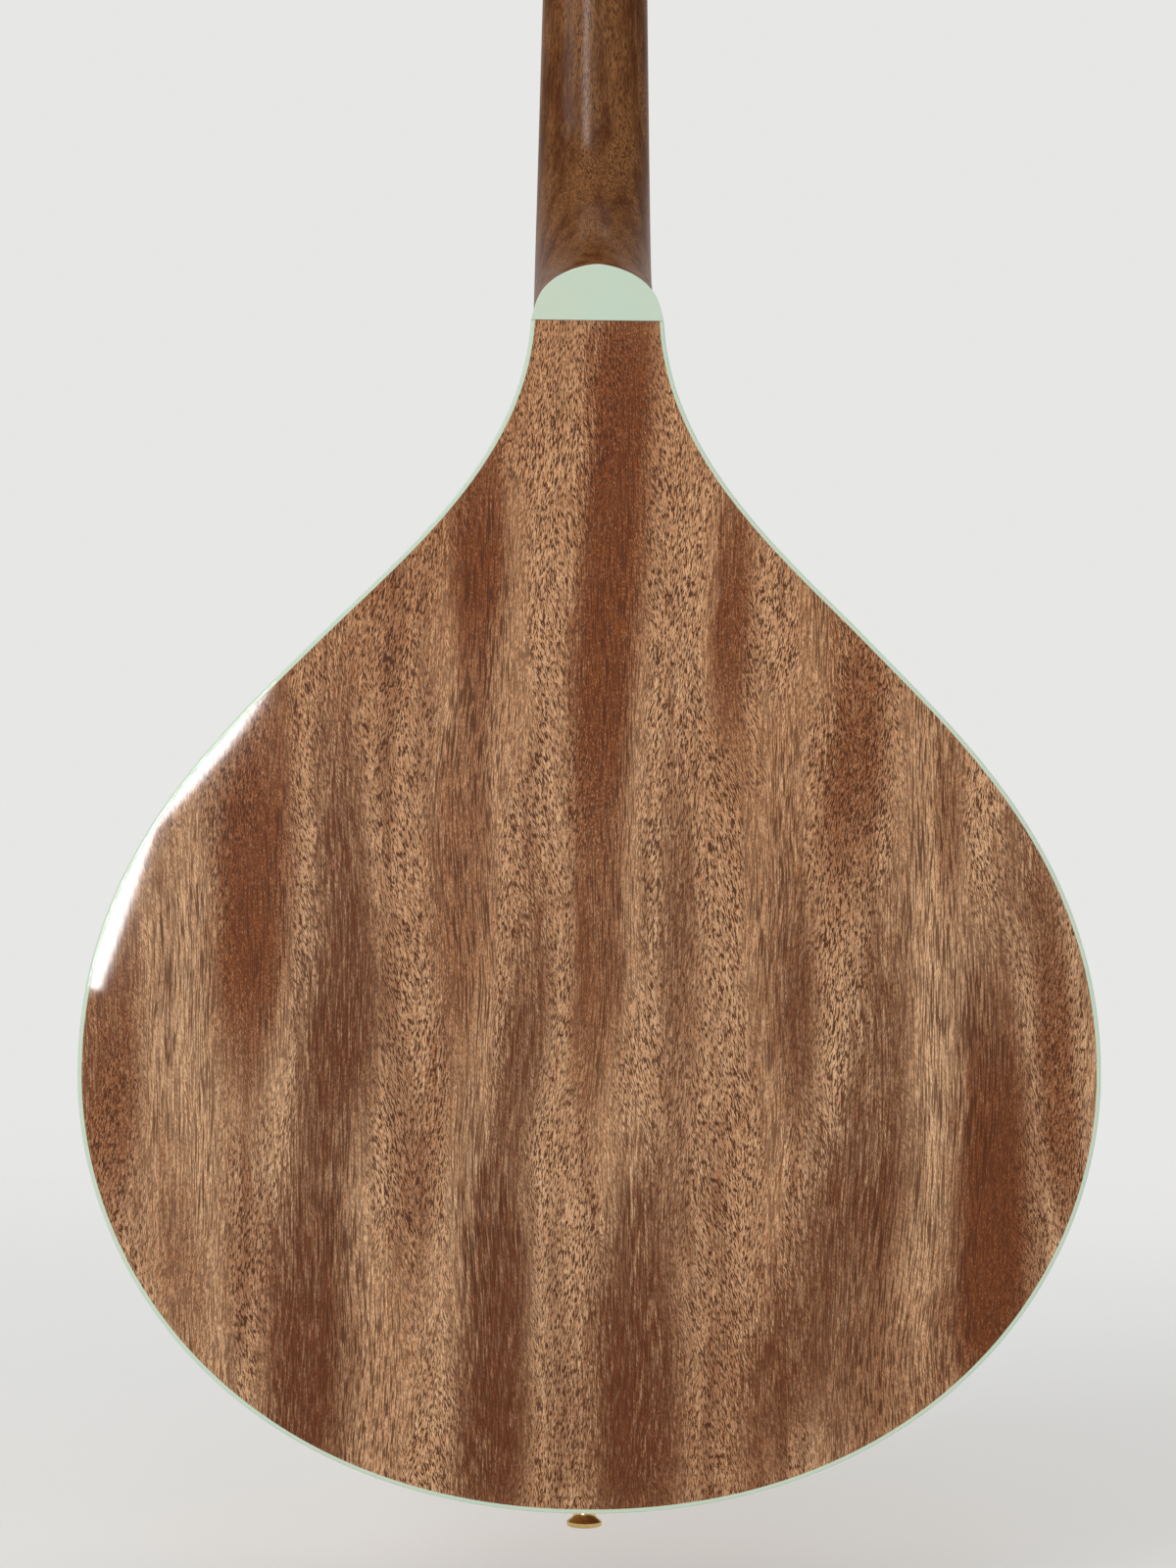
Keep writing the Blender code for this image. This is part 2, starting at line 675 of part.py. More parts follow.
def neck_sections():
    """Sections from the heel's joint face to the headstock's tip."""
    rings = []
    sweep_end = HEEL_LENGTH + HEEL_SWEEP
    stops = [SEAT, HEEL_STRAIGHT]
    stops += [HEEL_LENGTH * share for share in HEEL_SHARES]
    stops += [sweep_end - HEEL_SWEEP * share for share in SWEEP_SHARES]
    for stop in stops:
        z = JOINT_Z + stop
        shaft = NECK_NUT_DEPTH + (NECK_JOINT_DEPTH - NECK_NUT_DEPTH) * z / JOINT_Z
        share = share_of(sweep_end - stop, 0.0, HEEL_SWEEP)
        depth = SIDE_DEPTH - (SIDE_DEPTH - shaft) * math.sqrt(1.0 - share * share)
        past = share_of(stop, HEEL_STRAIGHT, HEEL_LENGTH)
        flat = math.sqrt(1.0 - past * past)
        place = Matrix.Translation((0.0, 0.0, z))
        rings.append(neck_section(neck_width(z) / 2.0, depth, NECK_FULLNESS, flat, place))
    for z in (SHAFT_LEVEL, NUT_THICK):
        place = Matrix.Translation((0.0, 0.0, z))
        half = neck_width(min(z, 0.0)) / 2.0
        rings.append(neck_section(half, NECK_NUT_DEPTH, NECK_FULLNESS, 0.0, place))
    for z in HEAD_STOPS:
        fullness = NECK_FULLNESS + (HEAD_SQUARENESS - NECK_FULLNESS) * share_of(z, 0.0, HEAD_FLARE)
        place = head_matrix() @ Matrix.Translation((0.0, 0.0, z))
        rings.append(neck_section(head_half_width(z), HEAD_THICK, fullness, 0.0, place))
    return rings


def head_matrix():
    """The headstock's frame: origin behind the nut, tilted back."""
    return Matrix.Translation((0.0, 0.0, NUT_THICK)) @ Matrix.Rotation(HEAD_ANGLE, 4, "X")


def heel_slice(carved, name, low, high, keep):
    """The part of the carved heel between two levels, or the neck without it."""
    far = 2.0 * JOINT_WIDTH
    zone = box("heel_zone", (-far, low, JOINT_Z - far), (far, high, JOINT_Z + HEEL_LENGTH + HEEL_SWEEP))
    return merged(name, carved.copy(), zone, keep)


def neck_and_heel():
    """One carved shape, divided at the stacked heel's glue line and at the heel cap."""
    carved = loft("carved", neck_sections(), 30.0, True)
    below = -2.0 * SIDE_DEPTH
    cap_top = -SIDE_DEPTH + HEEL_CAP_THICK
    neck = add("neck", heel_slice(carved, "neck", below, -HEEL_STACK, "DIFFERENCE"), "neck_wood")
    block = heel_slice(carved, "heel_block", cap_top + SEAT, -HEEL_STACK - SEAT, "INTERSECT")
    add("heel_block", block, "neck_wood")
    add("heel_cap", heel_slice(carved, "heel_cap", below, cap_top, "INTERSECT"), "binding")
    combine(neck, helper("add_tenon", tenon()), "UNION")
    combine(neck, helper("cut_rod_slot", rod_slot()), "DIFFERENCE")
    combine(neck, helper("cut_rod_pocket", rod_pocket()), "DIFFERENCE")
    combine(neck, bpy.data.objects["cut_post_bores"], "DIFFERENCE")


def tenon():
    """The tongue that goes into the neck block's mortise."""
    front = -TOP_THICK - SEAT
    half = TENON_WIDTH / 2.0
    low = (-half, front - TENON_DEPTH, JOINT_Z - TENON_LENGTH)
    return box("add_tenon", low, (half, front, JOINT_Z + TENON_LENGTH))


def rod_slot():
    """The groove for the truss rod under the fingerboard."""
    half = ROD_RADIUS + SEAT
    low = (-half, -ROD_DEPTH - half, JOINT_Z + HEEL_LENGTH)
    high = (half, BOARD_NUT_THICK, NUT_THICK + ROD_POCKET_LENGTH / 2.0)
    return box("cut_rod_slot", low, high)


def rod_pocket():
    """The open pocket that the truss rod's nut is reached through."""
    half = ROD_NUT_RADIUS + 3.0 * SEAT
    low = (-half, -ROD_DEPTH - half, NUT_THICK + SEAT)
    high = (half, ROD_POCKET_LENGTH, NUT_THICK + ROD_POCKET_LENGTH)
    return box("cut_rod_pocket", low, high)


def truss_rod():
    """A steel rod in its slot, with a socketed nut at the headstock end."""
    bar = rod("truss_rod", ROD_RADIUS, JOINT_Z + HEEL_LENGTH + SEAT, NUT_THICK - SEAT, 12)
    add("truss_rod", bar, "steel", None, (0.0, -ROD_DEPTH, 0.0))
    end = ROD_NUT_LENGTH
    deep = end - ROD_NUT_SOCKET_DEPTH
    profile = [
        (0.0, deep), (ROD_NUT_SOCKET, deep), (ROD_NUT_SOCKET, end), (ROD_NUT_RADIUS - ROD_NUT_CHAMFER, end),
        (ROD_NUT_RADIUS, end - ROD_NUT_CHAMFER), (ROD_NUT_RADIUS, 0.0), (0.0, 0.0),
    ]
    place = (0.0, -ROD_DEPTH, NUT_THICK + 2.0 * SEAT)
    add("truss_rod_nut", lathe("truss_rod_nut", profile, 12), "brass", None, place)


def headplate(frame):
    """A thin veneer over the headstock's front, with the same edge."""
    stops = [3.0 * SEAT] + HEAD_STOPS
    edge = [(head_half_width(z), z) for z in stops]
    outline = edge + [(-x, z) for x, z in edge[::-1]]
    mesh = slab("headplate", outline, SEAT, SEAT + HEADPLATE_THICK)
    plate = add("headplate", mesh, "rosewood", frame)
    combine(plate, bpy.data.objects["cut_post_bores"], "DIFFERENCE")
    combine(plate, bpy.data.objects["cut_rod_pocket"], "DIFFERENCE")


def board_top(z):
    """The fingerboard is a wedge that thickens towards the body."""
    return BOARD_NUT_THICK + (BOARD_END_THICK - BOARD_NUT_THICK) * z / BOARD_END


def fret_place(fret):
    """A fret's distance from the nut, by the rule of the twelfth root of two."""
    return -SCALE_LENGTH * (1.0 - 2.0 ** (-fret / 12.0))


def fingerboard():
    """A wedge with its frets standing across it, seen as one long side profile."""
    inner = BOARD_BINDING + SEAT
    near = -SEAT
    far = BOARD_END + inner
    corners = (
        (FRET_WIDTH, 0.0), (FRET_CROWN, FRET_HEIGHT), (-FRET_CROWN, FRET_HEIGHT), (-FRET_WIDTH, 0.0),
    )
    profile = [(near, SEAT), (near, board_top(near))]
    for fret in range(1, FRET_COUNT + 1):
        z = fret_place(fret)
        profile += [(z + step / 2.0, board_top(z) + rise) for step, rise in corners]
    profile += [(far, board_top(far)), (far, SEAT)]
    sides = []
    for hand in (-1.0, 1.0):
        sides.append([(hand * (neck_width(z) / 2.0 - inner), y, z) for z, y in profile])
    add("fingerboard", loft("fingerboard", sides), "rosewood")


def board_height(x, z):
    """The fingerboard's top as a height over x and z."""
    return board_top(z)


def fingerboard_binding():
    """A pale strip along both sides and across the end, all in one."""
    near = -SEAT
    far = BOARD_END
    wide = [neck_width(z) / 2.0 for z in (near, far, far + BOARD_BINDING)]
    outer = [(-wide[0], near), (-wide[1], far), (wide[1], far), (wide[0], near)]
    inner = [(wide[0] - BOARD_BINDING, near), (wide[2] - BOARD_BINDING, far + BOARD_BINDING)]
    inner += [(-x, z) for x, z in inner[::-1]]
    mesh = slab("fingerboard_binding", outer + inner, SEAT, board_height, 0.0)
    add("fingerboard_binding", mesh, "binding")


def string_places():
    """For each string, bass to treble: radius, x at the nut, x at the bridge and its tuner."""
    places = []
    for course, radius in enumerate(COURSE_RADII):
        for pair in (1.0, -1.0):
            x_nut = (1.5 - course) * NUT_COURSE_SPACING + pair * NUT_PAIR_SPACING / 2.0
            x_bridge = (1.5 - course) * BRIDGE_COURSE_SPACING + pair * BRIDGE_PAIR_SPACING / 2.0
            places.append((radius, x_nut, x_bridge))
    return places


def nut():
    """The bone nut, with a slot for each string."""
    floor = board_top(0.0) + STRING_LIFT - SEAT
    slots = []
    for radius, x, _ in string_places()[::-1]:
        half = radius + SEAT
        slots += [(x - half, NUT_HEIGHT), (x - half, floor), (x + half, floor), (x + half, NUT_HEIGHT)]
    half = NUT_WIDTH / 2.0
    outline = [(-half, SEAT), (-half, NUT_HEIGHT)] + slots + [(half, NUT_HEIGHT), (half, SEAT)]
    add("nut", loft("nut", [[(x, y, z) for x, y in outline] for z in (0.0, NUT_THICK)]), "bone")


def bridge():
    """A floating base with two threaded studs, and the saddle that stands on its wheels."""
    base = add("bridge_base", bridge_base(), "rosewood")
    saddle = add("bridge_saddle", saddle_block(), "rosewood")
    wheel = wheel_mesh()
    stud = rod("stud", STUD_RADIUS, BRIDGE_BASE_HEIGHT - STUD_SINK, STUD_TOP, 12, "Y")
    bore = STUD_RADIUS + BORE_CLEARANCE
    hole = rod("hole", bore, SADDLE_FOOT - STUD_BORE_DEPTH, SADDLE_FOOT + STUD_BORE_DEPTH, 12, "Y")
    for side, hand in HANDS:
        place = (hand * STUD_SPACING / 2.0, 0.0, BRIDGE_Z)
        combine(base, helper(f"add_stud_{side}", stud, None, place), "UNION")
        combine(saddle, helper(f"cut_stud_{side}", hole, None, place), "DIFFERENCE")
        rest = (place[0], SADDLE_FOOT - SEAT - WHEEL_THICK, BRIDGE_Z)
        add(f"thumbwheel_{side}", wheel, "brass", None, rest)


def bridge_base():
    """The base's side view: thin ends, a flat between the studs and a relief below."""
    flat = STUD_SPACING / 2.0 + BRIDGE_FLAT_MARGIN
    half = [
        (0.0, BRIDGE_RELIEF_HEIGHT), (BRIDGE_RELIEF_HALF - BRIDGE_RELIEF_SLOPE, BRIDGE_RELIEF_HEIGHT),
        (BRIDGE_RELIEF_HALF, SEAT), (BRIDGE_HALF_LENGTH, SEAT), (BRIDGE_HALF_LENGTH, BRIDGE_END_HEIGHT),
        (flat, BRIDGE_BASE_HEIGHT),
    ]
    outline = half + [(-x, y) for x, y in half[:0:-1]]
    deep = BRIDGE_BASE_WIDTH / 2.0
    return loft("bridge_base", [[(x, y, BRIDGE_Z + z) for x, y in outline] for z in (-deep, deep)])


def saddle_block():
    """The saddle: square below, and thinned to a crest under the strings."""
    long = SADDLE_HALF_LENGTH
    levels = [
        (SADDLE_FOOT, long, SADDLE_THICK),
        (SADDLE_FOOT + SADDLE_END_HEIGHT, long, SADDLE_THICK),
        (SADDLE_TOP - SADDLE_CREST_DROP, long - SADDLE_SLOPE, SADDLE_THICK),
        (SADDLE_TOP, long - SADDLE_SLOPE - SADDLE_TIP, SADDLE_CREST),
    ]
    rings = []
    for y, half, thick in levels:
        low = BRIDGE_Z - thick / 2.0
        high = BRIDGE_Z + thick / 2.0
        rings.append([(-half, y, low), (half, y, low), (half, y, high), (-half, y, high)])
    return loft("bridge_saddle", rings)


def wheel_mesh():
    """A bored disc with chamfered rims."""
    bore = STUD_RADIUS + BORE_CLEARANCE
    rim = WHEEL_RADIUS - WHEEL_CHAMFER
    profile = [
        (bore, 0.0), (rim, 0.0), (WHEEL_RADIUS, WHEEL_CHAMFER),
        (WHEEL_RADIUS, WHEEL_THICK - WHEEL_CHAMFER), (rim, WHEEL_THICK), (bore, WHEEL_THICK),
    ]
    return lathe("thumbwheel", profile, 16, "Y")


def tailpiece():
    """A bent plate: it lies on the tail's rim, turns over the edge and holds eight hooks."""
    foot = TAIL_Z - SEAT
    low = foot - TAILPIECE_THICK
    high = TAILPIECE_LIFT + TAILPIECE_THICK
    reach = TAIL_Z + TAILPIECE_REACH
    mid = 0.3 * TAILPIECE_BEND
    profile = [
        (-TAILPIECE_DROP, foot), (-TAILPIECE_DROP, low),
        (high - TAILPIECE_BEND, low), (high - mid, low + mid),
        (high, low + TAILPIECE_BEND), (high, reach), (TAILPIECE_LIFT, reach),
        (TAILPIECE_LIFT, foot + TAILPIECE_CREASE), (TAILPIECE_LIFT - TAILPIECE_CREASE, foot),
    ]
    half = TAILPIECE_WIDTH / 2.0
    rings = [[(x, y, z) for y, z in profile] for x in (-half, half)]
    plate = add("tailpiece", loft("tailpiece", rings), "chrome")
    peg = rod("hook", HOOK_RADIUS, high - HOOK_SINK, high + HOOK_HEIGHT, 8, "Y")
    hooks = gathered("add_hooks", [(peg, (x, 0.0, z)) for x, z in hook_places()])
    combine(plate, helper("add_hooks", hooks), "UNION")


def hook_places():
    """Where each string is hooked, in X and Z, in two staggered rows."""
    spacing = (TAILPIECE_WIDTH - 2.0 * HOOK_MARGIN) / 7.0
    return [((3.5 - i) * spacing, TAIL_Z + HOOK_ROWS[i % 2]) for i in range(8)]


def strap_button():
    """A turned button with a waist, a screw recess and the shank that the tail block holds."""
    end = -BUTTON_HEIGHT
    recess = end + BUTTON_RECESS_DEPTH
    chamfer = BUTTON_CHAMFER
    profile = [
        (0.0, recess), (BUTTON_RECESS, recess), (BUTTON_RECESS, end), (BUTTON_FLANGE - chamfer, end),
        (BUTTON_FLANGE, end + chamfer), (BUTTON_FLANGE, end + BUTTON_RIM),
        (BUTTON_NECK + chamfer, end + 0.27 * BUTTON_HEIGHT), (BUTTON_NECK, end + 0.44 * BUTTON_HEIGHT),
        (BUTTON_NECK + 0.5 * chamfer, end + 0.75 * BUTTON_HEIGHT), (BUTTON_FOOT, -SEAT - 2.0 * chamfer),
        (BUTTON_FOOT, -SEAT), (BUTTON_SHANK, -SEAT), (BUTTON_SHANK, BUTTON_SHANK_LENGTH),
        (0.0, BUTTON_SHANK_LENGTH),
    ]
    add("strap_button", lathe("strap_button", profile, 18), "brass", None, (0.0, STRAP_Y, TAIL_Z))


def post_places():
    """The four posts of one side, from the nut up."""
    return [FIRST_POST + POST_SPACING * i for i in range(4)]


def post_bores(frame):
    """Eight bores for the posts, used on the neck and on its headplate."""
    bore = rod("bore", POST_BORE, -2.0 * HEAD_THICK, HEAD_THICK, 12, "Y")
    places = [(bore, (hand * POST_X, 0.0, z)) for _, hand in HANDS for z in post_places()]
    helper("cut_post_bores", gathered("cut_post_bores", places), frame)


def gear_mesh():
    """The worm wheel: slanted teeth of straight flanks, cut to the worm's lead."""
    outer = GEAR_RADIUS + ADDENDUM
    root = GEAR_RADIUS - DEDENDUM
    step = math.tau / GEAR_TEETH
    lead = WORM_PITCH / (math.tau * WORM_RADIUS)
    tooth = (
        (root, -TOOTH_ROOT_SHARE), (outer, -TOOTH_TIP_SHARE),
        (outer, TOOTH_TIP_SHARE), (root, TOOTH_ROOT_SHARE),
    )
    rings = []
    for rise in (-GEAR_THICK / 2.0, GEAR_THICK / 2.0):
        ring = []
        for i in range(GEAR_TEETH):
            for radius, share in tooth:
                turn = (i + share) * step + lead * rise / GEAR_RADIUS
                ring.append((-radius * math.sin(turn), GEAR_Y + rise, -radius * math.cos(turn)))
        rings.append(ring)
    mesh = loft("gear", rings)
    mesh.materials.append(material("brass"))
    return mesh


def tuner_post():
    """A waisted post with its gear below the plate, turning as one."""
    rim = POST_RADIUS - POST_CHAMFER
    seat = PLATE_BACK - SEAT
    end = GEAR_Y - GEAR_THICK / 2.0 - 4.0 * SEAT
    waist_top = WIND_HEIGHT + 0.0034
    waist_foot = WIND_HEIGHT - 0.0012
    profile = [
        (0.0, POST_TOP), (rim, POST_TOP), (POST_RADIUS, POST_TOP - POST_CHAMFER),
        (POST_RADIUS, waist_top + POST_CHAMFER), (POST_WAIST, waist_top), (POST_WAIST, waist_foot),
        (POST_RADIUS, waist_foot - POST_CHAMFER), (POST_RADIUS, seat), (POST_COLLAR, seat),
        (POST_COLLAR, GEAR_Y), (POST_STUB, GEAR_Y), (POST_STUB, end), (0.0, end),
    ]
    shaft = lathe("post_shaft", profile, 8, "Y")
    shaft.materials.append(material("chrome"))
    return merged("tuner_post", shaft, gear_mesh(), "UNION")


def worm_faces(made, rows, low, high):
    """Skin the thread: flanks and crest along it, the core between turns, and both ends."""
    steps = WORM_STEPS
    total = len(rows) - 1
    top = total - steps
    for here, after in zip(rows, rows[1:]):
        for j in range(3):
            made.faces.new((here[j], after[j], after[j + 1], here[j + 1]))
    for i in range(top):
        made.faces.new((rows[i][3], rows[i + 1][3], rows[i + steps + 1][0], rows[i + steps][0]))
    made.faces.new(rows[0])
    made.faces.new(rows[total][::-1])
    for i in range(steps - 1):
        made.faces.new((low[i], low[i + 1], rows[i + 1][0], rows[i][0]))
        a = high[(top + i) % steps]
        b = high[(top + i + 1) % steps]
        made.faces.new((rows[top + i][3], rows[top + i + 1][3], b, a))
    made.faces.new((low[-1], low[0], rows[0][0], rows[0][3], rows[steps][0], rows[steps - 1][0]))
    a = high[(total - 1) % steps]
    b = high[total % steps]
    made.faces.new((rows[total - 1][3], rows[total][3], rows[total][0], rows[top][3], b, a))
    made.faces.new(low)
    made.faces.new(high)


def worm_mesh():
    """A thread of straight flanks wound round its core; a gap between turns faces the gear."""
    root = WORM_CENTRE - GEAR_RADIUS - ADDENDUM - MESH_GAP
    crest = WORM_CENTRE - GEAR_RADIUS + DEDENDUM - MESH_GAP
    thread = (
        (root, -THREAD_ROOT_SHARE), (crest, -THREAD_CREST_SHARE),
        (crest, THREAD_CREST_SHARE), (root, THREAD_ROOT_SHARE),
    )
    start = math.pi / 2.0 + math.tau * (0.5 - WORM_TURNS / 2.0)
    made = bmesh.new()

    def point(x, radius, step):
        turn = start + math.tau * step / WORM_STEPS
        return made.verts.new((x, -radius * math.cos(turn), radius * math.sin(turn)))

    rows = []
    for i in range(int(WORM_TURNS * WORM_STEPS) + 1):
        turns = i / WORM_STEPS - WORM_TURNS / 2.0
        rows.append([point(WORM_PITCH * (turns + share), radius, i) for radius, share in thread])
    half = WORM_LENGTH / 2.0
    low, high = [[point(x, root, i) for i in range(WORM_STEPS)] for x in (-half, half)]
    worm_faces(made, rows, low, high)
    mesh = bpy.data.meshes.new("worm")
    made.to_mesh(mesh)
    made.free()
    finish(mesh, 0.0)
    mesh.materials.append(material("steel"))
    return mesh


def key_shaft(hand):
    """The shaft with its collar and its button, which is turned and then pressed flat."""
    tip = -(WORM_LENGTH / 2.0 + EAR_THICK + 3.0 * SEAT)
    neck = KEY_REACH - COLLAR_LENGTH
    sections = [
        (tip, SHAFT_RADIUS, SHAFT_RADIUS), (neck - 0.0008, SHAFT_RADIUS, SHAFT_RADIUS),
        (neck, COLLAR_RADIUS, COLLAR_RADIUS),
    ]
    for along, share in BUTTON_PROFILE:
        flat = max(BUTTON_FLAT * share, BUTTON_LEAST)
        sections.append((KEY_REACH + BUTTON_LENGTH * along, flat, BUTTON_BROAD * share))
    turns = [math.tau * k / 8.0 for k in range(8)]
    rings = []
    for x, flat, broad in sections:
        rings.append([(hand * x, flat * math.cos(turn), broad * math.sin(turn)) for turn in turns])
    mesh = loft("key_shaft", rings, 30.0)
    mesh.materials.append(material("binding"))
    return mesh


def plate_mesh():
    """The tuner plate with bored ears bent up on both sides of each worm."""
    half = PLATE_WIDTH / 2.0
    top = PLATE_BACK + PLATE_THICK
    first_worm = FIRST_POST - WORM_CENTRE
    low = first_worm - EAR_WIDTH / 2.0 - PLATE_MARGIN
    high = post_places()[-1] + POST_RADIUS + 2.0 * PLATE_MARGIN
    plate = box("plate", (-half, PLATE_BACK, low), (half, top, high))
    gap = WORM_LENGTH / 2.0 + SEAT
    wide = EAR_WIDTH / 2.0
    ear = box("ear", (gap, GEAR_Y - wide, -wide), (gap + EAR_THICK, PLATE_BACK + PLATE_THICK / 2.0, wide))
    bore = rod("ear_bore", SHAFT_RADIUS + SHAFT_CLEARANCE, -PLATE_WIDTH, PLATE_WIDTH, 8, "X")
    hole = rod("post_hole", POST_BORE - SHAFT_CLEARANCE, -HEAD_THICK, 0.0, 10, "Y")
    ears = []
    holes = []
    for z in post_places():
        worm = z - WORM_CENTRE
        ears += [(ear, (0.0, 0.0, worm)), (ear, (-2.0 * gap - EAR_THICK, 0.0, worm))]
        holes += [(bore, (0.0, GEAR_Y, worm)), (hole, (0.0, -HEAD_THICK / 2.0, z))]
    solid = merged("tuner_plate", plate, gathered("ears", ears), "UNION")
    return merged("tuner_plate", solid, gathered("holes", holes), "DIFFERENCE")


def tuners(frame):
    """Two plates of four machines; each post and each key has its origin on its own axis."""
    post = tuner_post()
    plate = plate_mesh()
    for side, hand in HANDS:
        add(f"tuner_plate_{side}", plate, "chrome", frame, (hand * POST_X, 0.0, 0.0))
        key = merged("tuner_key", worm_mesh(), key_shaft(hand), "UNION")
        for i, z in enumerate(post_places()):
            add(f"tuner_post_{side}_{i + 1}", post, "chrome", frame, (hand * POST_X, 0.0, z))
            place = (hand * POST_X, GEAR_Y, z - WORM_CENTRE)
            add(f"tuner_key_{side}_{i + 1}", key, "binding", frame, place)


def winding(radius, x_nut, hand, z_post):
    """Turns round a post, as points in the headstock's frame, from where the string meets it."""
    turn_radius = POST_WAIST + SEAT + radius
    here = Vector((x_nut, 0.0))
    centre = Vector((hand * POST_X, z_post))
    away = centre - here
    first = math.atan2(away.y, away.x) + hand * (math.pi / 2.0 + math.asin(turn_radius / away.length))
    pitch = 2.0 * radius + TURN_GAP
    points = []
    for i in range(int(TURNS * TURN_POINTS) + 1):
        turn = first - hand * math.tau * i / TURN_POINTS
        x = centre.x + turn_radius * math.cos(turn)
        z = centre.y + turn_radius * math.sin(turn)
        points.append(Vector((x, WIND_HEIGHT + pitch * i / TURN_POINTS, z)))
    end = points[-1] + (points[-1] - points[-2]).normalized() * 2.0 * radius
    return points + [end]


def least_gap(points, radius):
    """The least open distance between one turn and the next."""
    best = 1.0
    for i, a in enumerate(points):
        for b in points[i + TURN_POINTS // 2:]:
            best = min(best, (a - b).length - 2.0 * radius)
    return best


def string_route(i, radius, x_nut, x_bridge):
    """A string's way from its hook over the saddle and the nut, then round its post."""
    hand = 1.0 if i < 4 else -1.0
    order = i if i < 4 else 7 - i
    y_nut = board_top(0.0) + STRING_LIFT + radius
    hook_x, hook_z = hook_places()[i]
    hook_y = TAILPIECE_LIFT + TAILPIECE_THICK + HOOK_HEIGHT / 2.0 + radius
    start = Vector((hook_x, hook_y, hook_z + HOOK_RADIUS + SEAT))
    saddle = Vector((x_bridge, SADDLE_TOP + SEAT + radius, BRIDGE_Z))
    edge = Vector((x_nut, y_nut, 0.0))
    lead = Vector((x_nut, y_nut, NUT_THICK + SEAT))
    turns = [head_matrix() @ point for point in winding(radius, x_nut, hand, post_places()[order])]
    route = [start, start.lerp(saddle, 0.5), saddle.lerp(start, 0.012), saddle, saddle.lerp(edge, 0.004)]
    route += [saddle.lerp(edge, 0.5), edge.lerp(saddle, 0.003), edge, lead, lead.lerp(turns[0], 0.03)]
    route.append(lead.lerp(turns[0], 0.5))
    return route, turns


def strings():
    """Eight round wires, each a curve with its own thickness."""
    for i, (radius, x_nut, x_bridge) in enumerate(string_places()):
        route, turns = string_route(i, radius, x_nut, x_bridge)
        name = f"string_{i + 1}"
        curve = bpy.data.curves.new(name, "CURVE")
        curve.dimensions = "3D"
        curve.bevel_depth = radius
        curve.bevel_resolution = 1
        curve.use_fill_caps = True
        spline = curve.splines.new("POLY")
        spline.points.add(len(route + turns) - 1)
        for point, place in zip(spline.points, route + turns):
            point.co = (*place, 1.0)
        curve.materials.append(material("bronze" if i < 4 else "steel"))
        item = bpy.data.objects.new(name, curve)
        bpy.context.scene.collection.objects.link(item)
        gap = least_gap(turns, radius) * 1000.0
        print(f"{name}: {len(route + turns)} points, least gap between turns {gap:.2f} mm")


def main():
    clear_scene()
    frame = bpy.data.objects.new("head_frame", None)
    frame.matrix_world = head_matrix()
    bpy.context.scene.collection.objects.link(frame)
    post_bores(frame)
    back_plate()
    top_plate()
    bindings()
    ribs()
    linings()
    neck_block()
    tail_block()
    braces()
    neck_and_heel()
    truss_rod()
    headplate(frame)
    fingerboard()
    fingerboard_binding()
    nut()
    bridge()
    tailpiece()
    strap_button()
    tuners(frame)
    strings()


main()
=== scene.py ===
"""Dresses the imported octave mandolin: smooth pieces, fittings, materials and a plain studio.

Lengths are metres. Z runs up the neck from the nut, Y points from the soundboard to the
strings and X to the bass side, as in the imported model.
"""

import json
import math

import bmesh
import bpy
import numpy as np
from mathutils import Matrix, Vector


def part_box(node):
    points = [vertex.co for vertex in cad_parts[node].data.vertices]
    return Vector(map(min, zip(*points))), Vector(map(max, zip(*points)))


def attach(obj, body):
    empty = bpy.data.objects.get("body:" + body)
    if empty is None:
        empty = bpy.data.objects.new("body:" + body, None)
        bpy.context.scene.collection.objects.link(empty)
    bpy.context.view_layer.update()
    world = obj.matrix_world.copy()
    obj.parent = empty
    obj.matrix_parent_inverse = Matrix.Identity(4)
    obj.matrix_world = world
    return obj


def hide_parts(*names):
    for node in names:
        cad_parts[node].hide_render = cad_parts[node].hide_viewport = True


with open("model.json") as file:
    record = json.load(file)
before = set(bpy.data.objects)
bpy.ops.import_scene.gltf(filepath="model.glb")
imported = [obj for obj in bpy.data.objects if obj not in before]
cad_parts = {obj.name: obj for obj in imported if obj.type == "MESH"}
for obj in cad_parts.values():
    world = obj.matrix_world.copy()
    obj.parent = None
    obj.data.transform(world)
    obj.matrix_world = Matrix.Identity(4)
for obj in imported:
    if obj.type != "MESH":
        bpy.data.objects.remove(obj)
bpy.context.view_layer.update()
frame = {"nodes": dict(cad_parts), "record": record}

NODES = frame["nodes"]
FINISHES = {}

bl_info = {
    "name": "Octave mandolin dressing",
    "version": (1, 0, 0),
    "blender": (4, 5, 0),
    "location": "3D View > Sidebar > Mandolin",
    "description": "Builds the visible pieces and finishes of an octave mandolin",
    "category": "Add Mesh",
}

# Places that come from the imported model
JOINT_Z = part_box("rib_bass")[1].z
TAIL_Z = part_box("back_binding")[0].z
SIDE_DEPTH = -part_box("back_binding")[0].y
HALF_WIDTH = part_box("back_binding")[1].x
BOARD_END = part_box("fingerboard_binding")[0].z
BODY_LENGTH = JOINT_Z - TAIL_Z

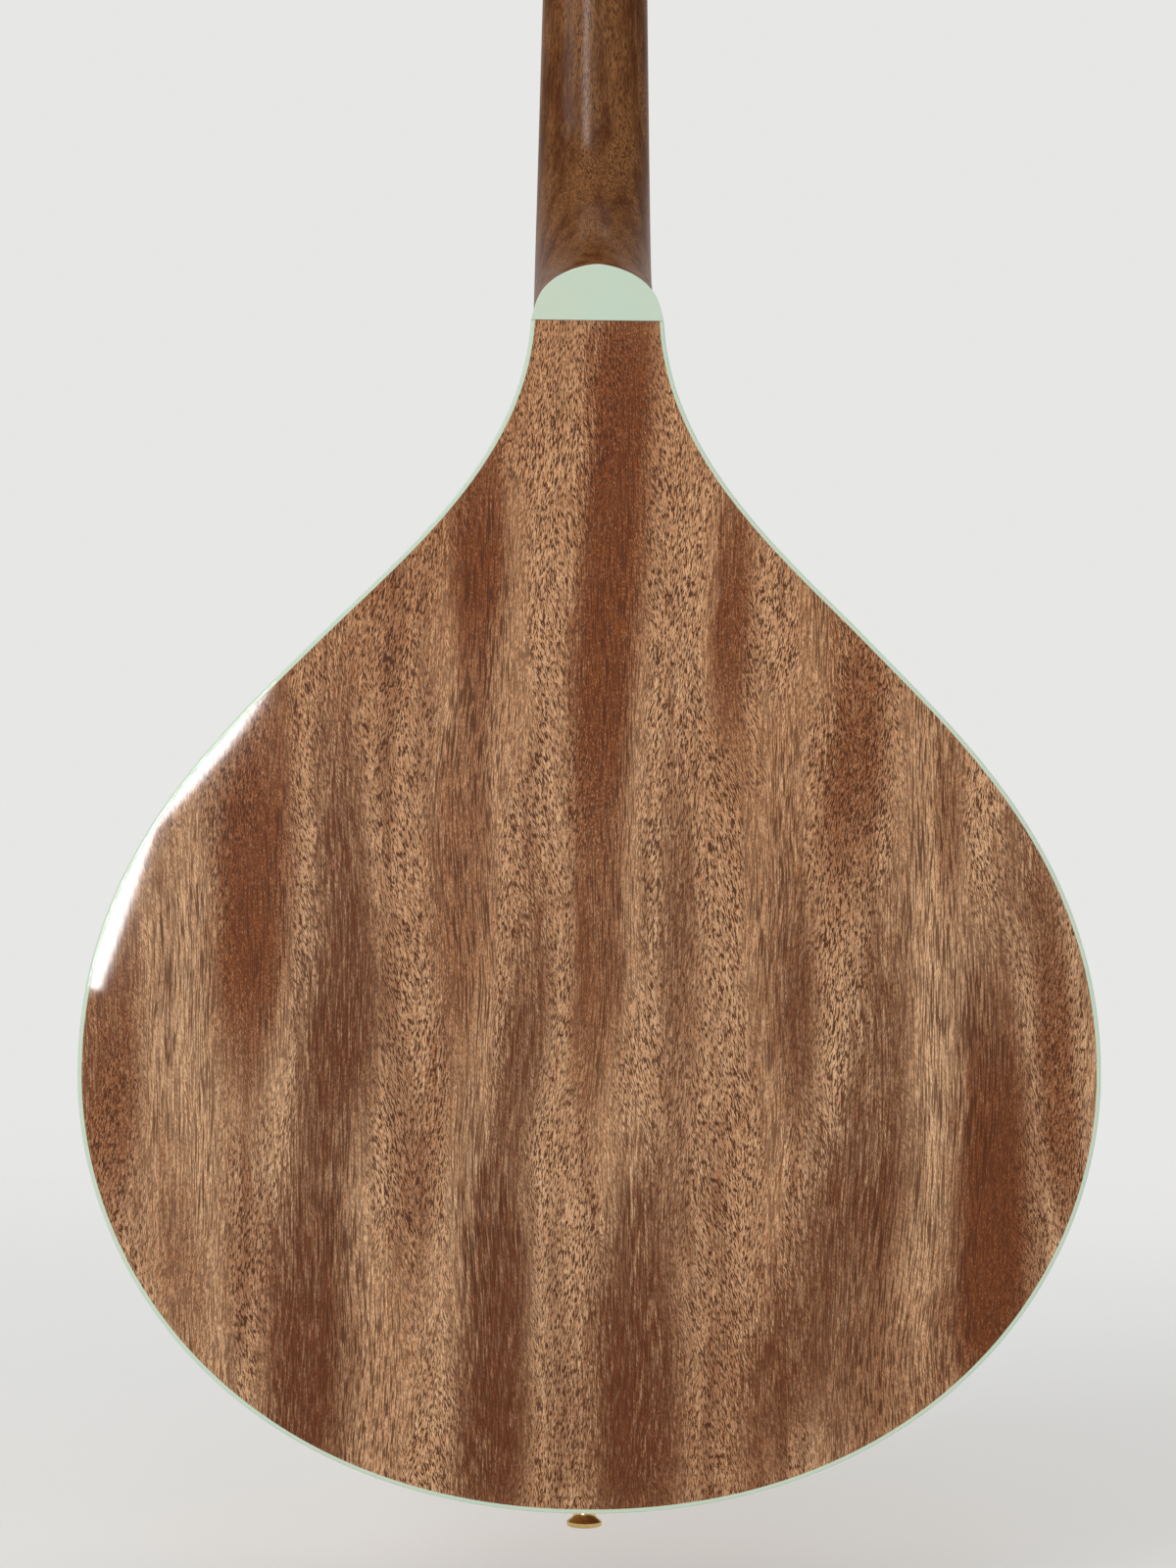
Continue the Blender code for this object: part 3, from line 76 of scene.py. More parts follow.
# Sizes that the source of the solids has too
SEAT = 0.0003
JOINT_HALF = 0.0234
WAIST = (0.0985, 0.1133)
WAIST_ANGLE = math.radians(44.7)
JOINT_SPLAY = math.radians(3.0)
WIDEST_DROP = 0.265
HANDLES = (0.0494, 0.0423, 0.0461, 0.0755, 0.0763, 0.117)
BACK_THICK = 0.0026
TOP_THICK = 0.0028
RIB_THICK = 0.0022
HEEL_LENGTH = 0.020
HEEL_SWEEP = 0.075
HEEL_STACK = 0.033
HEEL_CAP_THICK = 0.0025
HEEL_FLARE = 0.0011
HEEL_FLARE_RISE = 0.010
NECK_NUT_DEPTH = 0.015
NECK_JOINT_DEPTH = 0.0175
NECK_FULLNESS = 2.4
NUT_THICK = 0.005
HEAD_ANGLE = math.radians(12.0)
HEAD_LENGTH = 0.160
HEAD_THICK = 0.015
HEAD_FLARE = 0.030
HEAD_WIDTHS = (0.062, 0.074)
HEAD_CROWN = 0.030
CROWN_FOOT = HEAD_LENGTH - HEAD_CROWN
CROWN_POWER = 2.6
HEAD_SQUARENESS = 9.0
STRAP_Y = -SIDE_DEPTH / 2.0
HOLE_DROP = 0.115
HOLE_HALF = (0.044, 0.032)
SCALE_LENGTH = 0.533
FRET_COUNT = 20
FRET_WIDTH = 0.0024
FRET_HEIGHT = 0.0009
BOARD_THICK = (0.006, 0.0095)
BOARD_BINDING = 0.0013
NUT_WIDTH = 0.032
NUT_HEIGHT = 0.0085
STRING_LIFT = 0.001
HEADPLATE_THICK = 0.002
ROD_NUT_RADIUS = 0.0035
ROD_DEPTH = 0.0055
BRIDGE_Z = -SCALE_LENGTH
BRIDGE_HALF_LENGTH = 0.059
BRIDGE_BASE_HEIGHT = 0.0052
BRIDGE_BASE_WIDTH = 0.011
STUD_SPACING = 0.056
STUD_RADIUS = 0.002
STUD_TOP = 0.0112
SADDLE_HALF_LENGTH = 0.037
SADDLE_FOOT = 0.0095
SADDLE_TOP = 0.0153
SADDLE_THICK = 0.007
TAIL_WIDTH = 0.038
TAIL_REACH = 0.036
TAIL_THICK = 0.0015
TAIL_LIFT = 0.0032
TAIL_DROP = 0.026
HOOK_ROWS = (0.012, 0.006)
COURSE_RADII = (0.00053, 0.00040, 0.00027, 0.00016)
NUT_SPACINGS = (0.008, 0.0021)
BRIDGE_SPACINGS = (0.0136, 0.0031)
TURN_GAP = 0.00048
WIND_HEIGHT = 0.0072
FIRST_POST = 0.3 * HEAD_LENGTH
POST_SPACING = 0.023
POST_X = 0.021
POST_RADIUS = 0.003
POST_WAIST = 0.0026
POST_TOP = 0.014
POST_BORE = 0.0036
PLATE_WIDTH = 0.0145
PLATE_THICK = 0.0012
PLATE_BACK = -HEAD_THICK - SEAT - PLATE_THICK
GEAR_TEETH = 14
GEAR_MODULE = 0.00075
GEAR_THICK = 0.003
GEAR_Y = PLATE_BACK - 0.0031
GEAR_RADIUS = GEAR_MODULE * GEAR_TEETH / 2.0
WORM_RADIUS = 0.0024
WORM_TURNS = 2.5
WORM_PITCH = math.pi * GEAR_MODULE
WORM_CENTRE = GEAR_RADIUS + WORM_RADIUS
WORM_LENGTH = (WORM_TURNS + 0.6) * WORM_PITCH
SHAFT_RADIUS = 0.0015
EAR_THICK = 0.0011
KEY_REACH = 0.019
BUTTON = (0.0135, 0.0085, 0.0042)

# Inlaid rings round the sound hole: name, inner and outer distance from its edge, finish
ROSETTE = (
    ("hole_edge_ring", 0.0000, 0.0016, "binding"),
    ("rosette_inner_line", 0.0046, 0.0052, "black"),
    ("rosette_rope", 0.0052, 0.0084, "rope"),
    ("rosette_outer_line", 0.0084, 0.0090, "black"),
    ("rosette_thin_line", 0.0112, 0.0116, "black"),
)

# Sizes of details that only this file has
TENON_HALF_WIDTH = 0.010
TENON_DEPTH = 0.030
TENON_HALF_LENGTH = 0.016
ROD_SLOT_HALF = 0.0031
NOSE_POWERS = (2.7, 1.6)
PLAIN_NECK_Z = -0.03
INLAY_PROUD = 0.00004
DOT_FRETS = (3, 5, 7, 10, 12, 15, 17)
DOUBLE_DOT_FRET = 12
DOT_RADIUS = 0.0026
DOT_OFFSET = 0.009
SIDE_DOT_RADIUS = 0.0009
SIDE_DOT_OFFSET = 0.003
BOARD_CORNER = 0.002
NUT_SLOT_ROOM = 0.00018
NUT_SLOT_DEPTH = 0.00025
THREAD_PITCH = 0.0008
THREAD_DEPTH = 0.0003
SADDLE_BORE = 0.0023
SADDLE_CREST = 0.0013
WHEEL_HEIGHT = 0.0017
KNURLS = 40.0
KNURL_DEPTH = 0.035
TAIL_SCREWS = ((-0.013, 0.0, 0.013), -0.019, 0.0024)
PLATE_SCREW_RADIUS = 0.0018
TOOTH_RISE = 0.00055
TOOTH_FALL = 0.00075
MESH_ROOM = 0.0002
STRING_WINDS = 2.2
HOOK_WAIST_HEIGHT = 0.0016
LOOP_ROOM = 0.0011
TWIST_START = 0.001
TWIST_LENGTH = 0.009
TWIST_TURNS = 7.0

# How finely curved pieces are divided, and the angle from which an edge is sharp
OUTLINE_STEPS = (48, 48, 64)
SECTION_STEPS = 24
BACK_RINGS = 40
SHARP = 35.0

# The floor, and the camera that stands behind the instrument as the photograph's did
PAPER = (0.80, 0.80, 0.79)
FLOOR_Z = TAIL_Z - 0.045
CAMERA_PLACE = (-0.0299, -SIDE_DEPTH - 1.2277, -0.4718)
CAMERA_TARGET = (-0.0019, -SIDE_DEPTH, -0.4718)
CAMERA_ROLL = math.radians(0.5)
LENS = 80.2


def length(name, default, description):
    return bpy.props.FloatProperty(
        name=name, description=description, default=default, unit="LENGTH", precision=4, min=0.0)


def tint(name, default, description):
    return bpy.props.FloatVectorProperty(
        name=name, description=description, default=default, subtype="COLOR", min=0.0, max=1.0)


class MandolinSizes(bpy.types.PropertyGroup):
    """Sizes that may be changed before the pieces are built."""

    binding_width: length("Binding width", 0.0016, "Width of the pale strip, seen from the back")
    binding_depth: length("Binding depth", 0.0060, "How far the strip goes down the side")
    binding_round: length("Binding rounding", 0.0005, "Radius of the strip's outer edge")
    back_dome: length("Back dish", 0.005, "How far the back swells out")
    nut_width: length("Nut width", 0.032, "Width of the neck at the nut")
    joint_width: length("Joint width", 0.0445, "Width of the neck at the body")


class MandolinFinishes(bpy.types.PropertyGroup):
    """Colours of the finishes."""

    mahogany_light: tint("Mahogany, light", (0.77, 0.480, 0.270), "Palest fibres of the body")
    mahogany_tan: tint("Mahogany, tan", (0.36, 0.130, 0.038), "Tan fibres of the body")
    # The red tone also paints the dark reflection along the back's left edge.
    mahogany_red: tint("Mahogany, red", (0.195, 0.046, 0.003), "Red ribbons, of diving fibres")
    mahogany_brown: tint("Mahogany, brown", (0.152, 0.041, 0.009), "Brown ribbons, of level fibres")
    mahogany_pore: tint("Mahogany, pores", (0.066, 0.015, 0.002), "Open pores of the mahogany")
    mahogany_amber: tint("Mahogany, amber", (1.0, 0.92, 0.84), "Deepens colour at the neck")
    neck_light: tint("Neck, light", (0.245, 0.102, 0.034), "Light fibres of the neck")
    neck_dark: tint("Neck, dark", (0.090, 0.026, 0.006), "Dark fibres of the neck")
    neck_pore: tint("Neck, pores", (0.034, 0.009, 0.002), "Open pores of the neck")
    spruce_light: tint("Spruce, light", (0.68, 0.44, 0.20), "Early wood of the soundboard")
    spruce_dark: tint("Spruce, dark", (0.44, 0.22, 0.075), "Growth lines of the soundboard")
    rosewood_light: tint("Rosewood, light", (0.085, 0.042, 0.026), "Brown of board and bridge")
    rosewood_dark: tint("Rosewood, dark", (0.022, 0.010, 0.007), "Streaks of board and bridge")
    binding: tint("Binding", (0.545, 0.668, 0.540), "Pale green-white plastic of the trim")


# Shapes


def bezier(start, first, last, end, steps):
    """Cubic Bezier: the weights are (1-t)^3, 3t(1-t)^2, 3t^2(1-t) and t^3."""
    t = np.linspace(0.0, 1.0, steps + 1)[:, None]
    u = 1.0 - t
    return u**3 * start + 3 * t * u * u * first + 3 * t * t * u * last + t**3 * end


def body_outline():
    """Bass half of the pear outline as (half width, drop below the joint), joined Beziers."""
    run = np.array([math.sin(WAIST_ANGLE), math.cos(WAIST_ANGLE)])
    splay = np.array([math.sin(JOINT_SPLAY), math.cos(JOINT_SPLAY)])
    down, out = np.array([0.0, 1.0]), np.array([1.0, 0.0])
    start, waist = np.array([JOINT_HALF, 0.0]), np.array(WAIST)
    widest, tail = np.array([HALF_WIDTH, WIDEST_DROP]), np.array([0.0, BODY_LENGTH])
    a, b, c, d, e, f = HANDLES
    spans = (
        (start, start + a * splay, waist - b * run, waist),
        (waist, waist + c * run, widest - d * down, widest),
        (widest, widest + e * down, tail + f * out, tail),
    )
    parts = [bezier(*span, steps)[1:] for span, steps in zip(spans, OUTLINE_STEPS)]
    return np.vstack([start[None], *parts])


def inset(line, inward):
    """Move a half outline along its normals; the ends stay on the joint plane and the axis."""
    ahead = np.vstack([line[1:], [[-line[-2, 0], line[-2, 1]]]])
    behind = np.vstack([line[:1], line[:-1]])
    along = ahead - behind
    along /= np.linalg.norm(along, axis=1)[:, None]
    moved = line + inward * np.stack([-along[:, 1], along[:, 0]], axis=1)
    moved[0, 1] = 0.0
    moved[-1, 0] = 0.0
    return moved


def whole(line):
    """Bass half, then its mirror image back up the treble side."""
    return np.vstack([line, line[-2::-1] * [-1.0, 1.0]])


def circle(steps):
    """Angles all the way round, the last one short of the first."""
    return np.linspace(0.0, math.tau, steps, endpoint=False)


def quarter(steps):
    """Angles of a quarter turn, both ends among them."""
    return np.linspace(0.0, math.pi / 2.0, steps)


def eased(share):
    """A smooth step of a share from 0 to 1: s^2 (3 - 2 s)."""
    return share * share * (3.0 - 2.0 * share)


def rounding(share):
    """How far a quarter circle lies below its crown: 1 - sqrt(1 - (1 - share)^2)."""
    return 1.0 - np.sqrt(1.0 - (1.0 - share) ** 2)


def at_y(line, y):
    """(x, z) points as (x, y, z)."""
    return np.stack([line[..., 0], np.broadcast_to(y, line.shape[:-1]), line[..., 1]], axis=-1)


def grid_faces(rows, columns, wrap_rows):
    """Quads of a grid of points whose columns close on themselves, as its rows may."""
    count = rows if wrap_rows else rows - 1
    i, j = np.meshgrid(np.arange(count), np.arange(columns), indexing="ij")
    i, j = i.ravel(), j.ravel()
    low, high = i * columns, (i + 1) % rows * columns
    after = (j + 1) % columns
    return np.stack([low + j, low + after, high + after, high + j], axis=1), i, j


def surface(name, grid, wrap_rows=False, caps=True, sharp=SHARP):
    """A closed mesh from points[row, column]; its Lay map holds (along, across) in metres."""
    rows, columns = grid.shape[:2]
    faces, i, j = grid_faces(rows, columns, wrap_rows)
    polygons = faces.tolist()
    if caps and not wrap_rows:
        polygons += [list(range(columns))[::-1], list(range((rows - 1) * columns, rows * columns))]
    mesh = bpy.data.meshes.new(name)
    mesh.from_pydata(grid.reshape(-1, 3).tolist(), [], polygons)
    steps = np.linalg.norm(np.diff(grid, axis=0), axis=2).mean(axis=1)
    along = np.concatenate([[0.0], np.cumsum(steps), [steps.sum()]])
    steps = np.linalg.norm(np.diff(grid, axis=1), axis=2).mean(axis=0)
    across = np.concatenate([[0.0], np.cumsum(steps), [steps.sum() + steps.mean()]])
    corners = [(along[i + a], across[j + b]) for a, b in ((0, 0), (0, 1), (1, 1), (1, 0))]
    lay = np.zeros((len(mesh.loops), 2))
    lay[: len(faces) * 4] = np.array(corners).transpose(2, 0, 1).reshape(-1, 2)
    mesh.uv_layers.new(name="Lay").data.foreach_set("uv", lay.ravel())
    tidy(mesh, sharp)
    return mesh


def tidy(mesh, sharp):
    """Merge doubled points, turn the faces outwards and shade blunt edges smooth."""
    made = bmesh.new()
    made.from_mesh(mesh)
    bmesh.ops.remove_doubles(made, verts=made.verts, dist=1e-6)
    bmesh.ops.dissolve_degenerate(made, edges=made.edges, dist=1e-7)
    bmesh.ops.recalc_face_normals(made, faces=made.faces)
    made.to_mesh(mesh)
    made.free()
    mesh.shade_smooth()
    mesh.set_sharp_from_angle(angle=math.radians(sharp))


def joined(name, meshes):
    """Several meshes as one."""
    made = bmesh.new()
    for mesh in meshes:
        made.from_mesh(mesh)
        bpy.data.meshes.remove(mesh)
    mesh = bpy.data.meshes.new(name)
    made.to_mesh(mesh)
    made.free()
    return mesh


def piece(name, mesh, finish, body="instrument", replaces=(), bevel=0.0):
    """A shown object: finish, body and what it stands for."""
    item = bpy.data.objects.new(name, mesh)
    bpy.context.scene.collection.objects.link(item)
    mesh.materials.clear()
    mesh.materials.append(FINISHES[finish])
    if bevel:
        soften = item.modifiers.new("edges", "BEVEL")
        soften.width = bevel
        soften.segments = 2
        soften.limit_method = "ANGLE"
        soften.angle_limit = math.radians(40.0)
        soften.harden_normals = True
    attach(item, body)
    if replaces:
        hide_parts(*replaces)


def lathe(name, profile, sides=40, axis="Z", place=(0.0, 0.0, 0.0), ring=False):
    """Turn (radius, height) about an axis: (r cos a, r sin a, h), brought onto that axis.

    The profile of a ring closes on itself.
    """
    radius, height = np.array(profile, float).T[:, :, None]
    x, y = radius * np.cos(circle(sides)), radius * np.sin(circle(sides))
    h = np.broadcast_to(height, x.shape)
    order = {"Z": (x, y, h), "Y": (x, h, -y), "X": (h, y, -x)}[axis]
    grid = np.stack(order, axis=2) + np.array(place)
    return surface(name, grid, wrap_rows=ring, caps=radius[0, 0] > 0.0)


def coords(mesh):
    flat = np.empty(len(mesh.vertices) * 3)
    mesh.vertices.foreach_get("co", flat)
    return flat.reshape(-1, 3)


def reshaped(mesh, points):
    """A mesh whose points are put elsewhere."""
    mesh.vertices.foreach_set("co", points.ravel())
    mesh.update()
    return mesh


def block(low, high):
    """A plain cutter from corner to corner, in rows of x, y, z."""
    (x0, y0, z0), (x1, y1, z1) = low, high
    square = np.array([(x0, y0), (x1, y0), (x1, y1), (x0, y1)])
    return np.stack([np.column_stack([square, np.full(4, z)]) for z in (z0, z1)])


def carve(mesh, cutters, operation="DIFFERENCE"):
    """Cut meshes out of a mesh, or join them to it."""
    scene = bpy.context.scene
    base = bpy.data.objects.new("base", mesh)
    scene.collection.objects.link(base)
    tools = [base]
    for cutter in cutters:
        tool = bpy.data.objects.new("tool", cutter)
        scene.collection.objects.link(tool)
        tools.append(tool)
        cut = base.modifiers.new("cut", "BOOLEAN")
        cut.operation = operation
        cut.object = tool
    graph = bpy.context.evaluated_depsgraph_get()
    made = bpy.data.meshes.new_from_object(base.evaluated_get(graph))
    for tool in tools:
        data = tool.data
        bpy.data.objects.remove(tool)
        bpy.data.meshes.remove(data)
    made.set_sharp_from_angle(angle=math.radians(SHARP))
    return made


# Finishes


def put(tree, kind, inputs=None, **settings):
    """A shader node; its inputs are sockets or values, colours as three numbers."""
    made = tree.nodes.new("ShaderNode" + kind)
    for key, value in settings.items():
        setattr(made, key, value)
    for key, value in (inputs or {}).items():
        socket = made.inputs[key]
        if isinstance(value, bpy.types.NodeSocket):
            tree.links.new(value, socket)
        else:
            socket.default_value = (*value, 1.0) if socket.type == "RGBA" else value
    return made


def use(tree, name, inputs):
    """A node group placed in a material or another group."""
    return put(tree, "Group", inputs, node_tree=bpy.data.node_groups[name]).outputs


def sums(tree, operation, a, b=0.0, c=0.0, clamp=False):
    """The result of one Math node."""
    return put(tree, "Math", {0: a, 1: b, 2: c}, operation=operation, use_clamp=clamp).outputs[0]


def times(tree, a, b, plus=0.0, clamp=False):
    """a * b + plus."""
    return sums(tree, "MULTIPLY_ADD", a, b, plus, clamp)


def less(tree, a, b=0.5):
    """a - b, where a half centres a noise on zero."""
    return sums(tree, "SUBTRACT", a, b)


def separated(tree, vector):
    return put(tree, "SeparateXYZ", {0: vector}).outputs


def combined(tree, x, y, z):
    return put(tree, "CombineXYZ", {0: x, 1: y, 2: z}).outputs[0]


def ramp(tree, value, low, high, to_low=0.0, to_high=1.0):
    """A smooth step of a value from one level to another."""
    return put(tree, "MapRange", {
        "Value": value, "From Min": low, "From Max": high, "To Min": to_low, "To Max": to_high,
    }, interpolation_type="SMOOTHSTEP").outputs[0]


def blend(tree, factor, a, b, kind="MIX"):
    """Two colours mixed by a factor."""
    return put(tree, "Mix", {0: factor, 6: a, 7: b}, data_type="RGBA", blend_type=kind).outputs[2]


def noise(tree, vector, across, along, detail=2.0, rough=0.5):
    """Noise with so many grains a metre across the length Z and along it."""
    grains = put(tree, "VectorMath", {0: vector, 1: (across, across, along)}, operation="MULTIPLY")
    return put(tree, "TexNoise", {
        "Vector": grains.outputs[0], "Scale": 1.0, "Detail": detail, "Roughness": rough,
    }).outputs[0]


def group(name, inputs, outputs):
    """A node group with named sockets, given with their kinds, and its inner ends."""
    tree = bpy.data.node_groups.new(name, "ShaderNodeTree")
    for in_out, sockets in (("INPUT", inputs), ("OUTPUT", outputs)):
        for label, kind in sockets.items():
            tree.interface.new_socket(label, in_out=in_out, socket_type="NodeSocket" + kind)
    return tree, tree.nodes.new("NodeGroupInput").outputs, tree.nodes.new("NodeGroupOutput").inputs


def give(tree, made, **results):
    """Link a group's results to its outputs."""
    for label, value in results.items():
        tree.links.new(value, made[label])


SPRUCE_SILK = (0.80, 0.62, 0.36)
ROSEWOOD_PORE = (0.008, 0.004, 0.003)
# How the second tone of the binding differs from the first in red, green and blue
BINDING_WARMTH = (1.03, 0.99, 0.97)

# The sockets of a ribbon, in the order of the rows below
RIBBON = ("First Drop", "First X", "Last Drop", "Last X", "Half Width", "Strength")


def ribbon_group():
    """One dark ribbon: a soft band about the line from its first place to its last, over Before."""
    tree, given, made = group(
        "ribbon", {"Place": "Vector", **dict.fromkeys(RIBBON, "Float"), "Before": "Float"},
        {"Mask": "Float"})
    place = separated(tree, given["Place"])
    drop = place["Z"]
    line = put(tree, "MapRange", {
        "Value": drop, "From Min": given["First Drop"], "From Max": given["Last Drop"],
        "To Min": given["First X"], "To Max": given["Last X"],
    }, clamp=False).outputs[0]
    away = sums(tree, "ABSOLUTE", less(tree, place["X"], line))
    begins = ramp(tree, less(tree, drop, given["First Drop"]), -0.045, 0.060)
    ends = ramp(tree, less(tree, drop, given["Last Drop"]), 0.035, -0.045)
    inside = times(tree, begins, ends)
    half = times(tree, given["Half Width"], times(tree, inside, 0.75, 0.30))
    band = ramp(tree, sums(tree, "DIVIDE", away, half), 1.60, 0.45)
    mask = times(tree, times(tree, inside, band), given["Strength"])
    free = less(tree, 1.0, given["Before"])
    give(tree, made, Mask=times(tree, mask, free, given["Before"]))


def pores_group():
    """Open pores: short slanted flecks where fibres dive, fine lines where they run level."""
    tree, given, made = group(
        "pores", {"Vector": "Vector"},
        dict.fromkeys(("Flecks", "Lines", "Fibres", "Grain"), "Float"))
    vector = given["Vector"]
    place = separated(tree, vector)
    leaning = []
    for lean in (0.26, -0.12):
        slanted = combined(tree, times(tree, place["Z"], lean, place["X"]), place["Y"], place["Z"])
        leaning.append(noise(tree, slanted, 3000.0, 460.0, 1.0))
    side = ramp(tree, noise(tree, vector, 50.0, 7.0, 1.0), 0.47, 0.53)
    both = put(tree, "Mix", {0: side, 2: leaning[0], 3: leaning[1]}).outputs[0]
    crowd = noise(tree, vector, 700.0, 200.0, 1.0)
    both = times(tree, less(tree, crowd), 0.20, both)
    give(
        tree, made, Flecks=ramp(tree, both, 0.485, 0.56),
        Lines=ramp(tree, noise(tree, vector, 2500.0, 75.0, 1.0), 0.49, 0.57),
        Fibres=noise(tree, vector, 1900.0, 80.0, 2.0, 0.6),
        Grain=noise(tree, vector, 3300.0, 1100.0, 1.0))


def fibre_group():
    """Fine wood: long fibres, open pores in short flecks or long lines, and slow tone changes."""
    tree, given, made = group(
        "fibre", {
            "Vector": "Vector", "Light": "Color", "Dark": "Color", "Pore": "Color",
            "Darkness": "Float", "Pore Depth": "Float",
        }, {"Color": "Color", "Height": "Float"})
    vector = given["Vector"]
    zone = ramp(tree, noise(tree, vector, 55.0, 7.0, 1.0), 0.42, 0.60)
    flecks = ramp(tree, noise(tree, vector, 1500.0, 420.0, 2.0, 0.6), 0.55, 0.68)
    lines = ramp(tree, noise(tree, vector, 1700.0, 40.0, 2.0, 0.6), 0.56, 0.68)
    lines = times(tree, lines, less(tree, 1.0, zone))
    pores = times(tree, flecks, zone, lines, clamp=True)
    fibre = noise(tree, vector, 700.0, 9.0, 3.0, 0.65)
    slow = noise(tree, vector, 90.0, 12.0)
    tone = times(tree, less(tree, fibre), 0.9, given["Darkness"])
    tone = times(tree, less(tree, slow), 0.8, tone, clamp=True)
    colour = blend(tree, tone, given["Light"], given["Dark"])
    colour = blend(tree, times(tree, pores, given["Pore Depth"]), colour, given["Pore"])
    give(tree, made, Color=colour, Height=less(tree, 1.0, pores))


def wear_group():
    """Faint smears and specks that vary how glossy a surface is."""
    tree, given, made = group(
        "wear", {"Vector": "Vector", "Roughness": "Float", "Amount": "Float"},
        {"Roughness": "Float", "Height": "Float"})
    smear = noise(tree, given["Vector"], 30.0, 30.0, 4.0, 0.6)
    speck = noise(tree, given["Vector"], 900.0, 900.0, 1.0)
    mixed = times(tree, less(tree, smear), 2.0, less(tree, speck))
    worn = times(tree, mixed, given["Amount"], given["Roughness"])
    give(tree, made, Roughness=worn, Height=speck)


def new_finish(name, **sockets):
    """A material with its Principled shader, whose plain values are set on the shader itself."""
    made = FINISHES[name] = bpy.data.materials.new(f"{name}_finish")
    made.use_nodes = True
    tree = made.node_tree
    shader = tree.nodes["Principled BSDF"]
    for key, value in sockets.items():
        shader.inputs[key.replace("_", " ")].default_value = value
    return tree, shader, put(tree, "TexCoord").outputs["Object"]


def finish_surface(tree, shader, where, colour, gloss, bump=None, height=None):
    """Link what varies: colour, gloss as (roughness, wear) and bump as (depth, strength).

    The bump follows the specks of the wear where it has no height of its own.
    """
    worn = use(tree, "wear", {"Vector": where, "Roughness": gloss[0], "Amount": gloss[1]})
    tree.links.new(colour, shader.inputs["Base Color"])
    tree.links.new(worn["Roughness"], shader.inputs["Roughness"])
    if bump:
        raised = put(tree, "Bump", {
            "Height": worn["Height"] if height is None else height,
            "Distance": bump[0], "Strength": bump[1],
        })
        tree.links.new(raised.outputs[0], shader.inputs["Normal"])


# Dark ribbons of the back in metres: drop and x where each begins, drop and x where it ends,
# half width and strength. The red ones are fine flecked, the brown ones are lined; the last red
# row is no ribbon but a painted reflection, the dark sheen along the back's left edge.
RED_RIBBONS_AND_SHEEN = (
    (-0.030, 0.0125, 0.175, 0.000, 0.0105, 1.0),
    (0.105, 0.004, 0.275, 0.000, 0.009, 0.70),
    (0.030, -0.041, 0.130, -0.042, 0.009, 1.0),
    (0.190, 0.158, 0.330, 0.172, 0.007, 0.80),
    (0.235, 0.141, 0.390, 0.143, 0.012, 1.0),
    (0.120, -0.041, 0.260, -0.051, 0.008, 0.60),
    (0.250, -0.052, 0.345, -0.068, 0.007, 0.50),
    (0.045, 0.050, 0.150, 0.049, 0.007, 0.90),
    (0.090, 0.094, 0.200, 0.089, 0.010, 0.80),
    (0.135, 0.127, 0.205, 0.124, 0.006, 0.65),
    (0.125, -0.112, 0.270, -0.122, 0.013, 1.0),
    (0.290, -0.150, 0.365, -0.140, 0.010, 0.55),
    (0.290, -0.123, 0.370, -0.114, 0.010, 0.50),
    (0.325, 0.046, 0.385, 0.047, 0.007, 0.40),
    (0.335, 0.105, 0.390, 0.103, 0.013, 0.55),
    # Painted reflection, not wood: the dark bluish sheen along the back's left edge.
    (0.200, -0.168, 0.320, -0.173, 0.010, 0.80),
)
BROWN_RIBBONS = (
    (0.120, -0.087, 0.235, -0.087, 0.007, 0.75),
    (0.190, -0.084, 0.300, -0.091, 0.012, 1.0),
    (0.280, -0.095, 0.440, -0.102, 0.012, 1.0),
    (0.205, -0.021, 0.300, -0.029, 0.008, 0.85),
    (0.280, -0.030, 0.440, -0.038, 0.012, 1.0),
    (0.290, 0.027, 0.345, 0.024, 0.015, 0.90),
    (0.315, 0.017, 0.440, 0.018, 0.015, 1.0),
    (0.165, 0.029, 0.275, 0.031, 0.007, 0.65),
    (0.185, 0.070, 0.285, 0.075, 0.008, 0.70),
    (0.190, 0.106, 0.285, 0.102, 0.006, 0.65),
    (0.250, 0.099, 0.355, 0.093, 0.014, 0.85),
    (0.325, 0.095, 0.400, 0.090, 0.011, 0.60),
    (0.315, 0.082, 0.415, 0.058, 0.013, 0.85),
    (0.215, 0.139, 0.385, 0.141, 0.013, 0.60),
    (0.160, 0.150, 0.230, 0.157, 0.010, 0.70),
)


def strongest(tree, place, ribbons):
    """All of a row's ribbons laid over each other."""
    mask = 0.0
    for row in ribbons:
        given = {"Place": place, **dict(zip(RIBBON, row)), "Before": mask}
        mask = use(tree, "ribbon", given)["Mask"]
    return mask


def wandering(tree, where):
    """The wood's coordinates, shifted sideways by slow noise so that its lines drift."""
    slow = noise(tree, where, 14.0, 7.0)
    step = combined(tree, times(tree, less(tree, slow), 0.016), 0.0, 0.0)
    return put(tree, "VectorMath", {0: where, 1: step}, operation="ADD").outputs[0]


